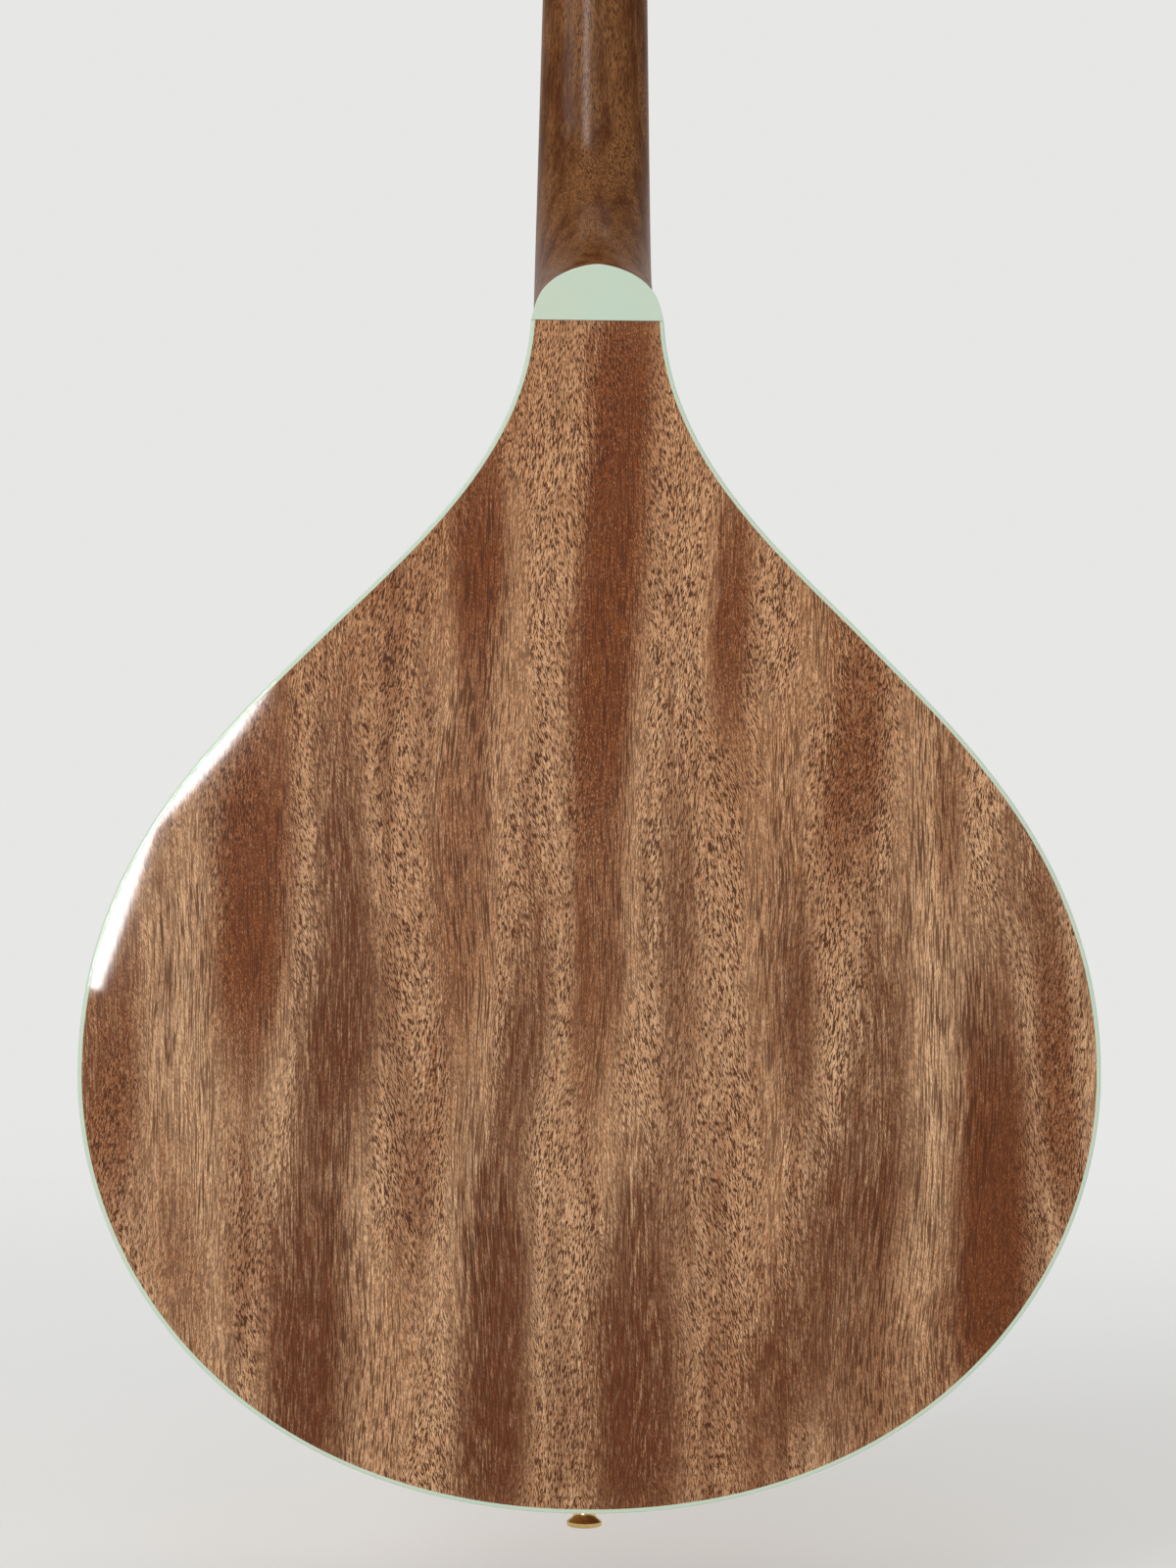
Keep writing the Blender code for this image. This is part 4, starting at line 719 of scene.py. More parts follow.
def mahogany_finish(finishes):
    """Ribbon mahogany: red bands of flecks, brown bands of lines, pale wood between them; one red
    band is a painted reflection along the left edge.
    """
    tree, shader, where = new_finish(
        "mahogany", Coat_Weight=0.30, Coat_Roughness=0.035, Specular_IOR_Level=0.03)
    vector = wandering(tree, where)
    pores = use(tree, "pores", {"Vector": vector})
    fibre, grain = less(tree, pores["Fibres"]), less(tree, pores["Grain"])
    place = separated(tree, vector)
    ragged = times(tree, fibre, 0.010, place["X"])
    drop = times(tree, fibre, 0.07, less(tree, JOINT_Z, place["Z"]))
    place = combined(tree, ragged, 0.0, drop)
    # The red mask also holds the painted reflection along the back's left edge.
    red = strongest(tree, place, RED_RIBBONS_AND_SHEEN)
    brown = strongest(tree, place, BROWN_RIBBONS)
    streak = noise(tree, vector, 120.0, 8.0, 3.0, 0.6)
    patch = ramp(tree, noise(tree, vector, 34.0, 5.0), 0.38, 0.52)
    patch = times(tree, patch, times(tree, brown, -0.7, 1.0))
    warm = ramp(tree, noise(tree, vector, 20.0, 6.0, 1.0), 0.35, 0.65, 0.25, 0.50)
    for begins, ends, first, last in ((0.0, 0.24, 0.20, 0.0), (0.26, 0.36, 0.0, 0.06)):
        warm = sums(tree, "ADD", warm, ramp(tree, drop, begins, ends, first, last))
    warm = times(tree, grain, 1.5, warm)
    pale = blend(
        tree, times(tree, fibre, 1.7, warm, clamp=True),
        finishes.mahogany_light, finishes.mahogany_tan)
    pale = blend(tree, ramp(tree, streak, 0.46, 0.74, 0.0, 0.55), pale, finishes.mahogany_brown)
    red = times(tree, red, times(tree, grain, 1.6, 1.0), clamp=True)
    ground = blend(tree, red, pale, finishes.mahogany_red)
    rough = times(tree, fibre, 2.0, times(tree, grain, 0.8, 0.96))
    ground = blend(tree, times(tree, brown, rough, clamp=True), ground, finishes.mahogany_brown)
    near = ramp(tree, drop, 0.26, 0.02)
    ground = blend(tree, near, ground, finishes.mahogany_amber, "MULTIPLY")
    flecks = times(tree, pores["Flecks"], times(tree, patch, 0.50, 0.45))
    lines = times(tree, pores["Lines"], times(tree, patch, -0.70, 0.85))
    open_pores = sums(tree, "MAXIMUM", flecks, lines)
    colour = blend(tree, open_pores, ground, finishes.mahogany_pore)
    height = less(tree, 1.0, open_pores)
    finish_surface(tree, shader, where, colour, (0.42, 0.10), (0.00004, 0.25), height)


def neck_finish(finishes):
    """Mahogany again, stained darker: clouds of pale and red-brown wood with fine flecks."""
    tree, shader, where = new_finish(
        "neck_wood", Coat_Weight=0.12, Coat_Roughness=0.16, Specular_IOR_Level=0.02)
    pores = use(tree, "pores", {"Vector": where})
    cloud = noise(tree, where, 120.0, 30.0, 4.0, 0.6)
    clouded = ramp(tree, cloud, 0.38, 0.66)
    tone = times(tree, less(tree, pores["Fibres"]), 1.6, clouded, clamp=True)
    ground = blend(tree, tone, finishes.neck_light, finishes.neck_dark)
    open_pores = times(tree, pores["Flecks"], ramp(tree, cloud, 0.35, 0.60, 0.85, 0.45))
    colour = blend(tree, open_pores, ground, finishes.neck_pore)
    height = less(tree, 1.0, open_pores)
    finish_surface(tree, shader, where, colour, (0.40, 0.10), (0.00004, 0.2), height)


def spruce_finish(finishes):
    """Two mirrored halves of straight growth lines about a millimetre apart, lacquered."""
    tree, shader, where = new_finish(
        "spruce", Coat_Weight=0.3, Coat_Roughness=0.12, Specular_IOR_Level=0.1)
    place = separated(tree, where)
    aside = sums(tree, "ABSOLUTE", place["X"])
    half = combined(tree, aside, place["Y"], place["Z"])
    drift = noise(tree, half, 36.0, 2.2)
    line = times(tree, aside, 780.0, times(tree, drift, 9.0))
    late = ramp(tree, sums(tree, "FRACT", line), 0.45, 0.98)
    years = noise(tree, half, 75.0, 1.6, 3.0, 0.65)
    tone = times(tree, late, 0.62, times(tree, less(tree, years, 0.46), 1.6))
    silk = noise(tree, half, 140.0, 520.0)
    wood = use(tree, "fibre", {
        "Vector": half, "Light": finishes.spruce_light, "Dark": finishes.spruce_dark,
        "Pore": finishes.spruce_dark, "Darkness": sums(tree, "MAXIMUM", tone, 0.0),
        "Pore Depth": 0.16,
    })
    shine = ramp(tree, silk, 0.55, 0.75, 0.0, 0.16)
    pale = blend(tree, shine, wood["Color"], SPRUCE_SILK)
    joint = ramp(tree, aside, 0.00045, 0.00015, 0.0, 0.6)
    pale = blend(tree, joint, pale, finishes.spruce_dark)
    finish_surface(tree, shader, where, pale, (0.30, 0.08), (0.00002, 0.2), wood["Height"])


def rosewood_finish(finishes):
    """Dark brown wood with near black streaks, oiled."""
    tree, shader, where = new_finish(
        "rosewood", Coat_Weight=0.12, Coat_Roughness=0.3, Specular_IOR_Level=0.4)
    streak = noise(tree, where, 210.0, 5.0, 3.0, 0.6)
    wood = use(tree, "fibre", {
        "Vector": where, "Light": finishes.rosewood_light, "Dark": finishes.rosewood_dark,
        "Pore": ROSEWOOD_PORE, "Darkness": ramp(tree, streak, 0.40, 0.62), "Pore Depth": 0.75,
    })
    finish_surface(
        tree, shader, where, wood["Color"], (0.45, 0.12), (0.00006, 0.4), wood["Height"])


def clouded_finish(name, tones, cloud, limits, gloss, bump, **sockets):
    """Metal, bone, pearl or plastic: a light tone and a dark one, clouded together."""
    tree, shader, where = new_finish(name, **sockets)
    colour = blend(tree, ramp(tree, noise(tree, where, *cloud), *limits), *tones)
    finish_surface(tree, shader, where, colour, gloss, bump)


def own_map(tree):
    """How far along and across its own surface a point of a piece lies, in metres."""
    return separated(tree, put(tree, "UVMap", uv_map="Lay").outputs[0])


def wound_finish(name, bright, dull, pitch):
    """Wire wrapped round a core: rings across the string by its own map, bright on their crowns,
    with painted shade in the grooves between them.
    """
    tree, shader, where = new_finish(name, Metallic=1.0)
    turn = times(tree, own_map(tree)["X"], math.pi / pitch)
    winding_relief_and_shade = sums(tree, "ABSOLUTE", sums(tree, "SINE", turn))
    stain = ramp(tree, noise(tree, where, 400.0, 60.0, 3.0), 0.7, 0.4, 0.6, 1.0)
    # Painted shade: the colour darkens into the grooves between the windings, following the relief.
    colour = blend(tree, times(tree, winding_relief_and_shade, stain), dull, bright)
    finish_surface(tree, shader, where, colour, (0.32, 0.08), (0.00008, 0.6), winding_relief_and_shade)


def rope_finish(pale, brown, dark):
    """A narrow inlay of slanted light and dark pieces, by the ring's own map."""
    tree, shader, where = new_finish("rope", Coat_Weight=0.4, Coat_Roughness=0.12)
    part = own_map(tree)
    slant = times(tree, part["X"], 620.0, times(tree, part["Y"], 700.0))
    away = sums(tree, "ABSOLUTE", less(tree, sums(tree, "FRACT", slant)))
    grain = ramp(tree, noise(tree, where, 900.0, 900.0), 0.3, 0.7)
    colour = blend(tree, ramp(tree, away, 0.22, 0.28), dark, blend(tree, grain, pale, brown))
    finish_surface(tree, shader, where, colour, (0.3, 0.06))


# Bright tone, dull tone and roughness
METALS = {
    "brass": ((0.80, 0.58, 0.25), (0.55, 0.36, 0.14), 0.25),
    "chrome": ((0.82, 0.82, 0.80), (0.60, 0.60, 0.58), 0.16),
    "nickel": ((0.74, 0.72, 0.68), (0.55, 0.52, 0.47), 0.22),
    "steel": ((0.62, 0.62, 0.63), (0.42, 0.41, 0.40), 0.30),
    "steel_string": ((0.78, 0.78, 0.78), (0.52, 0.50, 0.48), 0.22),
}

# Light tone, dark tone, clouds a metre across and along, roughness and coat
SMOOTH = {
    "bone": ((0.80, 0.76, 0.62), (0.70, 0.64, 0.48), (90.0, 90.0), 0.35, 0.3),
    "pearl": ((0.82, 0.84, 0.82), (0.58, 0.64, 0.62), (420.0, 200.0), 0.15, 0.6),
    "key_buttons": ((0.80, 0.75, 0.60), (0.66, 0.60, 0.44), (150.0, 90.0), 0.22, 0.5),
    "black": ((0.012, 0.012, 0.012), (0.022, 0.020, 0.018), (300.0, 300.0), 0.3, 0.3),
}


def make_finishes():
    """Make the shared groups, then every finish."""
    finishes = bpy.context.scene.mandolin_finishes
    for make in (ribbon_group, pores_group, fibre_group, wear_group):
        make()
    for make in (mahogany_finish, neck_finish, spruce_finish, rosewood_finish):
        make(finishes)
    warm = [tone * share for tone, share in zip(finishes.binding, BINDING_WARMTH)]
    clouded_finish(
        "binding", (finishes.binding, warm), (45.0, 45.0, 1.0), (0.35, 0.65), (0.28, 0.04),
        (0.00001, 0.05), Coat_Weight=0.3, Coat_Roughness=0.05, Specular_IOR_Level=0.08)
    for name, (bright, dull, roughness) in METALS.items():
        clouded_finish(
            name, (bright, dull), (160.0, 160.0, 4.0, 0.6), (0.45, 0.75), (roughness, 0.08),
            (0.00001, 0.1), Metallic=1.0)
    for name, (light, dark, clouds, roughness, coat) in SMOOTH.items():
        clouded_finish(
            name, (light, dark), (*clouds, 4.0, 0.6), (0.38, 0.66), (roughness, 0.06),
            (0.00002, 0.15), Coat_Weight=coat, Coat_Roughness=0.08, Specular_IOR_Level=0.5)
    # The second tone is painted shade in the grooves between the windings.
    wound_finish("bronze_string", (0.80, 0.50, 0.26), (0.26, 0.13, 0.06), 0.0003)
    rope_finish((0.72, 0.52, 0.28), (0.60, 0.40, 0.20), (0.035, 0.018, 0.010))


# Body


def at_depth(points, y):
    """(x, drop) points as (x, y, z)."""
    return at_y(points * [1.0, -1.0] + [0.0, JOINT_Z], y)


def back_panel_mesh(sizes):
    """Rings of the outline shrunk to its middle; the swell is dome * (half^2 - x^2) / widest^2."""
    edge = inset(body_outline(), sizes.binding_width - SEAT / 3.0)
    rim = whole(edge)
    middle = np.array([0.0, WIDEST_DROP])
    share = np.sin(quarter(BACK_RINGS)[::-1])[:, None, None]
    rings = middle + (rim - middle) * share
    half_squared = np.interp(rings[..., 1], edge[:, 1], edge[:, 0] ** 2)
    swell = np.maximum(half_squared - rings[..., 0] ** 2, 0.0) / edge[:, 0].max() ** 2
    outside = at_depth(rings, -SIDE_DEPTH - sizes.back_dome * swell)
    inside = outside + [0.0, BACK_THICK, 0.0]
    return surface("back_panel", np.concatenate([outside[::-1], inside]), caps=False)


def strip_mesh(name, profile, first=0, last=None):
    """A (inset, y) profile carried round the outline, from one sample to another."""
    line = body_outline()
    rows = [at_depth(whole(inset(line, across)), y) for across, y in profile]
    return surface(name, np.stack(rows, axis=1)[first:last])


def rounded(width, low, high, radius, outer_low, outer_high):
    """Profile of a strip, inset against depth, with its outer corners rounded where told."""
    arc = [(radius - radius * math.cos(a), radius - radius * math.sin(a)) for a in quarter(5)]
    foot = [(across, low + up) for across, up in arc] if outer_low else [(0.0, low)]
    crown = [(across, high - up) for across, up in arc[::-1]] if outer_high else [(0.0, high)]
    return [*foot, (width, low), (width, high), *crown]


class MANDOLIN_OT_back_panel(bpy.types.Operator):
    """Build the dished back plate in one piece of ribbon mahogany."""

    bl_idname = "mandolin.back_panel"
    bl_label = "Back panel"

    def execute(self, context):
        mesh = back_panel_mesh(context.scene.mandolin_sizes)
        piece("back_panel", mesh, "mahogany", replaces=["back_plate"])
        return {"FINISHED"}


class MANDOLIN_OT_bindings(bpy.types.Operator):
    """Build the two pale strips that edge the body."""

    bl_idname = "mandolin.bindings"
    bl_label = "Bindings"

    def execute(self, context):
        sizes = context.scene.mandolin_sizes
        width, deep, radius = sizes.binding_width, sizes.binding_depth, sizes.binding_round
        back = rounded(width, -SIDE_DEPTH, -SIDE_DEPTH + deep, radius, True, False)
        front = rounded(width, -deep, 0.0, radius, False, True)
        piece("back_trim", strip_mesh("back_trim", back), "binding", replaces=["back_binding"])
        piece("front_trim", strip_mesh("front_trim", front), "binding", replaces=["top_binding"])
        return {"FINISHED"}


class MANDOLIN_OT_sides(bpy.types.Operator):
    """Build the two bent sides, which meet at the tail."""

    bl_idname = "mandolin.sides"
    bl_label = "Sides"

    def execute(self, context):
        deep = context.scene.mandolin_sizes.binding_depth
        low, high = -SIDE_DEPTH + deep + SEAT / 10.0, -deep - SEAT / 10.0
        profile = [(0.0, low), (RIB_THICK, low), (RIB_THICK, high), (0.0, high)]
        count = sum(OUTLINE_STEPS) + 1
        for side, first, last in (("bass", 0, count), ("treble", count - 1, None)):
            mesh = strip_mesh(f"side_{side}", profile, first, last)
            piece(f"side_{side}", mesh, "mahogany", replaces=[f"rib_{side}"])
        return {"FINISHED"}


# Neck


def neck_half(z, sizes):
    """Half width of the neck: an even taper from the nut."""
    wide = sizes.nut_width + (sizes.joint_width - sizes.nut_width) * np.minimum(z, 0.0) / JOINT_Z
    return wide / 2.0


def heel_depth(z):
    """Depth of the carved neck: the shaft's own, swept down to the back by a quarter ellipse."""
    shaft = NECK_NUT_DEPTH + (NECK_JOINT_DEPTH - NECK_NUT_DEPTH) * z / JOINT_Z
    share = np.clip((JOINT_Z + HEEL_LENGTH + HEEL_SWEEP - z) / HEEL_SWEEP, 0.0, 1.0)
    return SIDE_DEPTH - (SIDE_DEPTH - shaft) * np.sqrt(1.0 - share**2)


def heel_flat(z, nose=HEEL_LENGTH):
    """Share of the width left at a height, closing to the nose: (1 - rise^p)^(1 / q)."""
    rise = np.clip((z - JOINT_Z) / nose, 0.0, 1.0)
    return (1.0 - rise ** NOSE_POWERS[0]) ** (1.0 / NOSE_POWERS[1])


def neck_side(z, down, sizes):
    """Half width at a depth: half * (1 - (down / depth)^p (1 - flat^p))^(1 / p)."""
    power = NECK_FULLNESS
    rate = np.clip(down / heel_depth(z), 0.0, 1.0) ** power * (1.0 - heel_flat(z) ** power)
    return neck_half(z, sizes) * np.clip(1.0 - rate, 0.0, 1.0) ** (1.0 / power)


def head_half(z):
    """Half width of the headstock above the nut: an eased flare, a taper and a rounded crown."""
    nut_width = bpy.context.scene.mandolin_sizes.nut_width
    wide = nut_width + (HEAD_WIDTHS[0] - nut_width) * eased(np.clip(z / HEAD_FLARE, 0.0, 1.0))
    taper = np.clip((z - HEAD_FLARE) / (CROWN_FOOT - HEAD_FLARE), 0.0, 1.0)
    wide = wide + (HEAD_WIDTHS[1] - HEAD_WIDTHS[0]) * taper
    crown = np.clip((z - CROWN_FOOT) / HEAD_CROWN, 0.0, 1.0)
    return 0.5 * wide * (1.0 - crown**CROWN_POWER) ** (1.0 / CROWN_POWER)


def head_heights(flare, steps):
    """Heights up the headstock: those of the flare, then the taper, then closer to the crown."""
    taper = np.linspace(HEAD_FLARE, CROWN_FOOT, 8)[1:]
    crown = HEAD_LENGTH - HEAD_CROWN * (1.0 - np.sin(quarter(steps)[1:]))
    return np.concatenate([flare, taper, crown])


def tilted(points):
    """Points of the headstock's own frame in the model's frame."""
    x, y, z = np.moveaxis(np.asarray(points, float), -1, 0)
    c, s = math.cos(HEAD_ANGLE), math.sin(HEAD_ANGLE)
    return np.stack([x, y * c - z * s, y * s + z * c + NUT_THICK], axis=-1)


def closed_section(x, y, z):
    """Half section from the top edge down, and its mirror image back up, row by row."""
    x, y, z = np.broadcast_arrays(x, y, z)
    half = np.stack([x, y, z], axis=-1)
    other = half[:, ::-1] * [-1.0, 1.0, 1.0]
    return np.concatenate([half, other], axis=1)


def neck_mesh(sizes):
    """Superellipse sections up the neck, cut level at the heel's glue line, then the headstock."""
    turn = quarter(SECTION_STEPS)[None]
    seam = math.asin((SIDE_DEPTH - HEEL_STACK) / (SIDE_DEPTH - NECK_JOINT_DEPTH))
    close = seam * (1.0 - np.linspace(1.0, 0.0, 40) ** 2.4)
    sweep = np.concatenate([close, np.linspace(seam, math.pi / 2.0, 24)[1:]])
    z = np.concatenate([
        JOINT_Z + np.linspace(SEAT, HEEL_LENGTH, 12)[:-1],
        JOINT_Z + HEEL_LENGTH + HEEL_SWEEP * (1.0 - np.cos(sweep)),
        np.linspace(-0.20, NUT_THICK, 14),
    ])[:, None]
    deepest = np.where(z > PLAIN_NECK_Z, NECK_NUT_DEPTH, np.minimum(heel_depth(z), HEEL_STACK))
    down = deepest * np.sin(turn) ** (2.0 / NECK_FULLNESS)
    shaft = closed_section(neck_side(z, down, sizes), -down, z)
    z = head_heights(np.linspace(0.0, HEAD_FLARE, 14)[2:], 24)[:, None]
    square = np.clip(z / HEAD_FLARE, 0.0, 1.0)
    power = NECK_FULLNESS + (HEAD_SQUARENESS - NECK_FULLNESS) * square
    down = np.sin(turn) ** (2.0 / power)
    across = (1.0 - np.clip(down**power, 0.0, 1.0)) ** (1.0 / power)
    head = tilted(closed_section(head_half(z) * across, -HEAD_THICK * down, z))
    return surface("neck_carved", np.concatenate([shaft, head]))


def heel_mesh(name, top, foot, sizes, rows):
    """Level outlines that flare to the body's strips: z climbs as a sine to the nose."""
    down = np.linspace(top, foot, rows)[:, None]
    rate = np.clip((SIDE_DEPTH - down) / (SIDE_DEPTH - NECK_JOINT_DEPTH), 0.0, 1.0)
    nose = HEEL_LENGTH + HEEL_SWEEP * (1.0 - np.sqrt(1.0 - rate**2))
    climb = np.sin(quarter(48)[None]) ** 1.2
    z = JOINT_Z + SEAT / 3.0 + (nose - SEAT / 3.0) * climb
    x = neck_side(z, np.broadcast_to(down, z.shape), sizes)
    cap = SIDE_DEPTH - HEEL_CAP_THICK
    deep = eased(np.clip((down - HEEL_STACK) / (cap - HEEL_STACK), 0.0, 1.0))
    x = x + deep * (neck_half(z, sizes) * heel_flat(z, nose) - x)
    x = x + HEEL_FLARE * deep * np.clip(1.0 - (z - JOINT_Z) / HEEL_FLARE_RISE, 0.0, 1.0) ** 2
    x[:, -1] = 0.0
    return surface(name, closed_section(x, np.broadcast_to(-down, x.shape), z))


def tenon():
    """The tongue that goes into the body's neck block."""
    front = -TOP_THICK - SEAT
    return block(
        (-TENON_HALF_WIDTH, front - TENON_DEPTH, JOINT_Z - TENON_HALF_LENGTH),
        (TENON_HALF_WIDTH, front, JOINT_Z + TENON_HALF_LENGTH))


def neck_cutters():
    """The headstock's bores and pocket, and the slot of the truss rod."""
    half = ROD_SLOT_HALF
    low = (-half, -ROD_DEPTH - half, JOINT_Z + HEEL_LENGTH)
    slot = block(low, (half, BOARD_THICK[0], NUT_THICK + 0.010))
    return [*head_cutters(), surface("slot", slot)]


class MANDOLIN_OT_neck(bpy.types.Operator):
    """Carve the neck with its headstock, the lower block of its heel and the pale heel cap."""

    bl_idname = "mandolin.neck"
    bl_label = "Neck and heel"

    def execute(self, context):
        sizes = context.scene.mandolin_sizes
        mesh = carve(neck_mesh(sizes), neck_cutters())
        mesh = carve(mesh, [surface("tenon", tenon())], "UNION")
        piece("neck_carved", mesh, "neck_wood", replaces=["neck"])
        cap = SIDE_DEPTH - HEEL_CAP_THICK
        lower = heel_mesh("heel_lower", HEEL_STACK + SEAT / 10.0, cap, sizes, 40)
        piece("heel_lower", lower, "neck_wood", replaces=["heel_block"])
        plate = heel_mesh("heel_plate", cap, SIDE_DEPTH, sizes, 6)
        piece("heel_plate", plate, "binding", replaces=["heel_cap"], bevel=0.0003)
        return {"FINISHED"}


class MANDOLIN_OT_strap_button(bpy.types.Operator):
    """Turn the brass strap button at the tail."""

    bl_idname = "mandolin.strap_button"
    bl_label = "Strap button"

    def execute(self, context):
        profile = [
            (0.0, -0.0105), (0.0026, -0.0105), (0.0026, -0.0125), (0.0057, -0.0125),
            (0.0062, -0.0123), (0.0064, -0.0118), (0.0064, -0.0108), (0.0060, -0.0104),
            (0.0044, -0.0092), (0.0038, -0.0076), (0.0038, -0.0055), (0.0042, -0.0036),
            (0.0052, -0.0018), (0.0055, -0.0010), (0.0055, -0.0003), (0.0030, -0.0003),
            (0.0030, 0.018), (0.0, 0.018),
        ]
        mesh = lathe("button_turned", profile, 48, "Z", (0.0, STRAP_Y, TAIL_Z))
        piece("button_turned", mesh, "brass", replaces=["strap_button"])
        return {"FINISHED"}


# Front


def oval(grow, turn):
    """Points of the sound hole's oval, moved out along its normals."""
    x, z = HOLE_HALF[0] * np.sin(turn), HOLE_HALF[1] * np.cos(turn)
    out = np.stack([x / HOLE_HALF[0] ** 2, z / HOLE_HALF[1] ** 2], axis=-1)
    out /= np.linalg.norm(out, axis=-1, keepdims=True)
    return np.stack([x, z], axis=-1) + grow * out


def soundboard_mesh(sizes):
    """Rings between the oval and the rim: hole + (rim - hole) * s, joined front to back."""
    line = whole(inset(body_outline(), sizes.binding_width - SEAT / 3.0))
    rim = np.concatenate([line, np.linspace(line[-1], line[0], 10)[1:-1]]) * [1.0, -1.0]
    middle = np.array([0.0, -HOLE_DROP])
    way = rim - middle
    hole = middle + oval(0.0, np.arctan2(way[:, 0] / HOLE_HALF[0], way[:, 1] / HOLE_HALF[1]))
    share = np.concatenate([[0.0, 0.008], np.linspace(0.05, 1.0, 8)])[:, None, None]
    rings = hole + (rim - hole) * share + [0.0, JOINT_Z]
    front = at_y(rings, np.where(share[..., 0] == 0.0, -SEAT, 0.0))
    rear = at_y(rings, -TOP_THICK)
    return surface("soundboard", np.concatenate([front, rear[::-1]]), wrap_rows=True)


def ring_mesh(name, first, last, proud):
    """A flat inlaid ring round the oval, between two distances from its edge."""
    middle = [0.0, JOINT_Z - HOLE_DROP]
    profile = ((first, -SEAT), (first, proud), (last, proud), (last, -SEAT))
    rows = [at_y(oval(grow, circle(120)) + middle, y) for grow, y in profile]
    return surface(name, np.stack(rows, axis=1), wrap_rows=True)


class MANDOLIN_OT_soundboard(bpy.types.Operator):
    """Build the spruce soundboard with its oval hole and the inlaid rings round it."""

    bl_idname = "mandolin.soundboard"
    bl_label = "Soundboard"

    def execute(self, context):
        mesh = soundboard_mesh(context.scene.mandolin_sizes)
        piece("soundboard", mesh, "spruce", replaces=["top_plate"])
        for name, first, last, finish in ROSETTE:
            piece(name, ring_mesh(name, first, last, INLAY_PROUD), finish)
        return {"FINISHED"}


def neck_edge(z):
    """Half width of the neck and its board at a height."""
    return neck_half(z, bpy.context.scene.mandolin_sizes)


def board_top(z):
    """The fingerboard thickens evenly from the nut to its end."""
    return BOARD_THICK[0] + (BOARD_THICK[1] - BOARD_THICK[0]) * z / BOARD_END


def fret_place(fret):
    """Distance of a fret from the nut: scale * (1 - 2^(-fret / 12))."""
    return -SCALE_LENGTH * (1.0 - 2.0 ** (-np.asarray(fret, float) / 12.0))


def board_mesh():
    """Wedge sections along the neck."""
    z = np.linspace(-SEAT, BOARD_END + BOARD_BINDING + SEAT / 6.0, 40)
    half, top = neck_edge(z) - BOARD_BINDING - SEAT / 6.0, board_top(z)
    foot = np.full(z.shape, SEAT)
    rows = [(-half, foot, z), (half, foot, z), (half, top, z), (-half, top, z)]
    return surface("fingerboard_wood", np.stack([np.stack(row, axis=1) for row in rows], axis=1))


def board_trim_mesh():
    """A strip (x, y) carried down one side, across the end and up the other."""
    z = np.linspace(-SEAT, BOARD_END + BOARD_CORNER, 30)
    half = neck_edge(z)
    corner = quarter(6)[1:]
    x = np.concatenate([half, half[-1] - BOARD_CORNER * (1.0 - np.cos(corner))])
    z = np.concatenate([z, BOARD_END + BOARD_CORNER * (1.0 - np.sin(corner))])
    outer = np.concatenate([np.stack([x, z], 1), np.stack([-x, z], 1)[::-1]])
    along = np.gradient(outer, axis=0)
    along /= np.linalg.norm(along, axis=1)[:, None]
    inner = outer + BOARD_BINDING * np.stack([along[:, 1], -along[:, 0]], axis=1)
    inner[[0, -1], 1] = -SEAT
    top, edge = board_top(outer[:, 1]), outer + (inner - outer) * 0.2
    profile = ((outer, SEAT), (outer, top - SEAT), (edge, top), (inner, top), (inner, SEAT))
    rows = [at_y(line, y) for line, y in profile]
    return surface("fingerboard_trim", np.stack(rows, axis=1))


def fret_wires_mesh():
    """Each wire is a half ellipse carried across the board, its ends filed to a slope."""
    turn = np.linspace(0.0, math.pi, 9)
    ends = np.array([0.0, 0.0006, 0.0012])
    rise = np.array([0.25, 0.8, 1.0, 1.0, 0.8, 0.25])[:, None]
    meshes = []
    for z in fret_place(np.arange(1, FRET_COUNT + 1)):
        half = float(neck_edge(z)) - 0.0002
        x = np.concatenate([ends - half, half - ends[::-1]])[:, None]
        y = board_top(z) - 0.00005 + FRET_HEIGHT * rise * np.sin(turn)
        side = z + FRET_WIDTH / 2.0 * (0.7 + 0.3 * rise) * np.cos(turn)
        meshes.append(surface("wire", np.stack(np.broadcast_arrays(x, y, side), axis=-1)))
    return joined("fret_wires", meshes)


def dots_mesh(name, places, radius, proud, axis="Y"):
    """Flat round inlays, domed a hair."""
    profile = [
        (0.0, proud), (0.7 * radius, proud), (radius, 0.4 * proud),
        (radius, -0.0005), (0.0, -0.0005),
    ]
    return joined(name, [lathe(name, profile, 28, axis, place) for place in places])


class MANDOLIN_OT_fingerboard(bpy.types.Operator):
    """Build the fingerboard: wood, pale edge, fret wires, position dots and side dots."""

    bl_idname = "mandolin.fingerboard"
    bl_label = "Fingerboard"

    def execute(self, context):
        piece("fingerboard_wood", board_mesh(), "rosewood", replaces=["fingerboard"])
        piece("fingerboard_trim", board_trim_mesh(), "binding", replaces=["fingerboard_binding"])
        piece("fret_wires", fret_wires_mesh(), "nickel")
        places, sides = [], []
        for fret in DOT_FRETS:
            z = float(fret_place(fret) + fret_place(fret - 1)) / 2.0
            for hand in ((-1.0, 1.0) if fret == DOUBLE_DOT_FRET else (0.0,)):
                places.append((hand * DOT_OFFSET, float(board_top(z)), z))
                beside = z + hand * SIDE_DOT_OFFSET
                sides.append((float(neck_edge(beside)), float(board_top(z)) * 0.62, beside))
        mesh = dots_mesh("position_dots", places, DOT_RADIUS, INLAY_PROUD)
        piece("position_dots", mesh, "pearl")
        mesh = dots_mesh("side_dots", sides, SIDE_DOT_RADIUS, 0.00003, "X")
        piece("side_dots", mesh, "black")
        return {"FINISHED"}


def string_places():
    """For each string, bass to treble: radius, x at the nut and x at the bridge."""
    return [
        (radius, *((1.5 - course) * apart + pair * gap / 2.0
                   for apart, gap in (NUT_SPACINGS, BRIDGE_SPACINGS)))
        for course, radius in enumerate(COURSE_RADII) for pair in (1.0, -1.0)
    ]


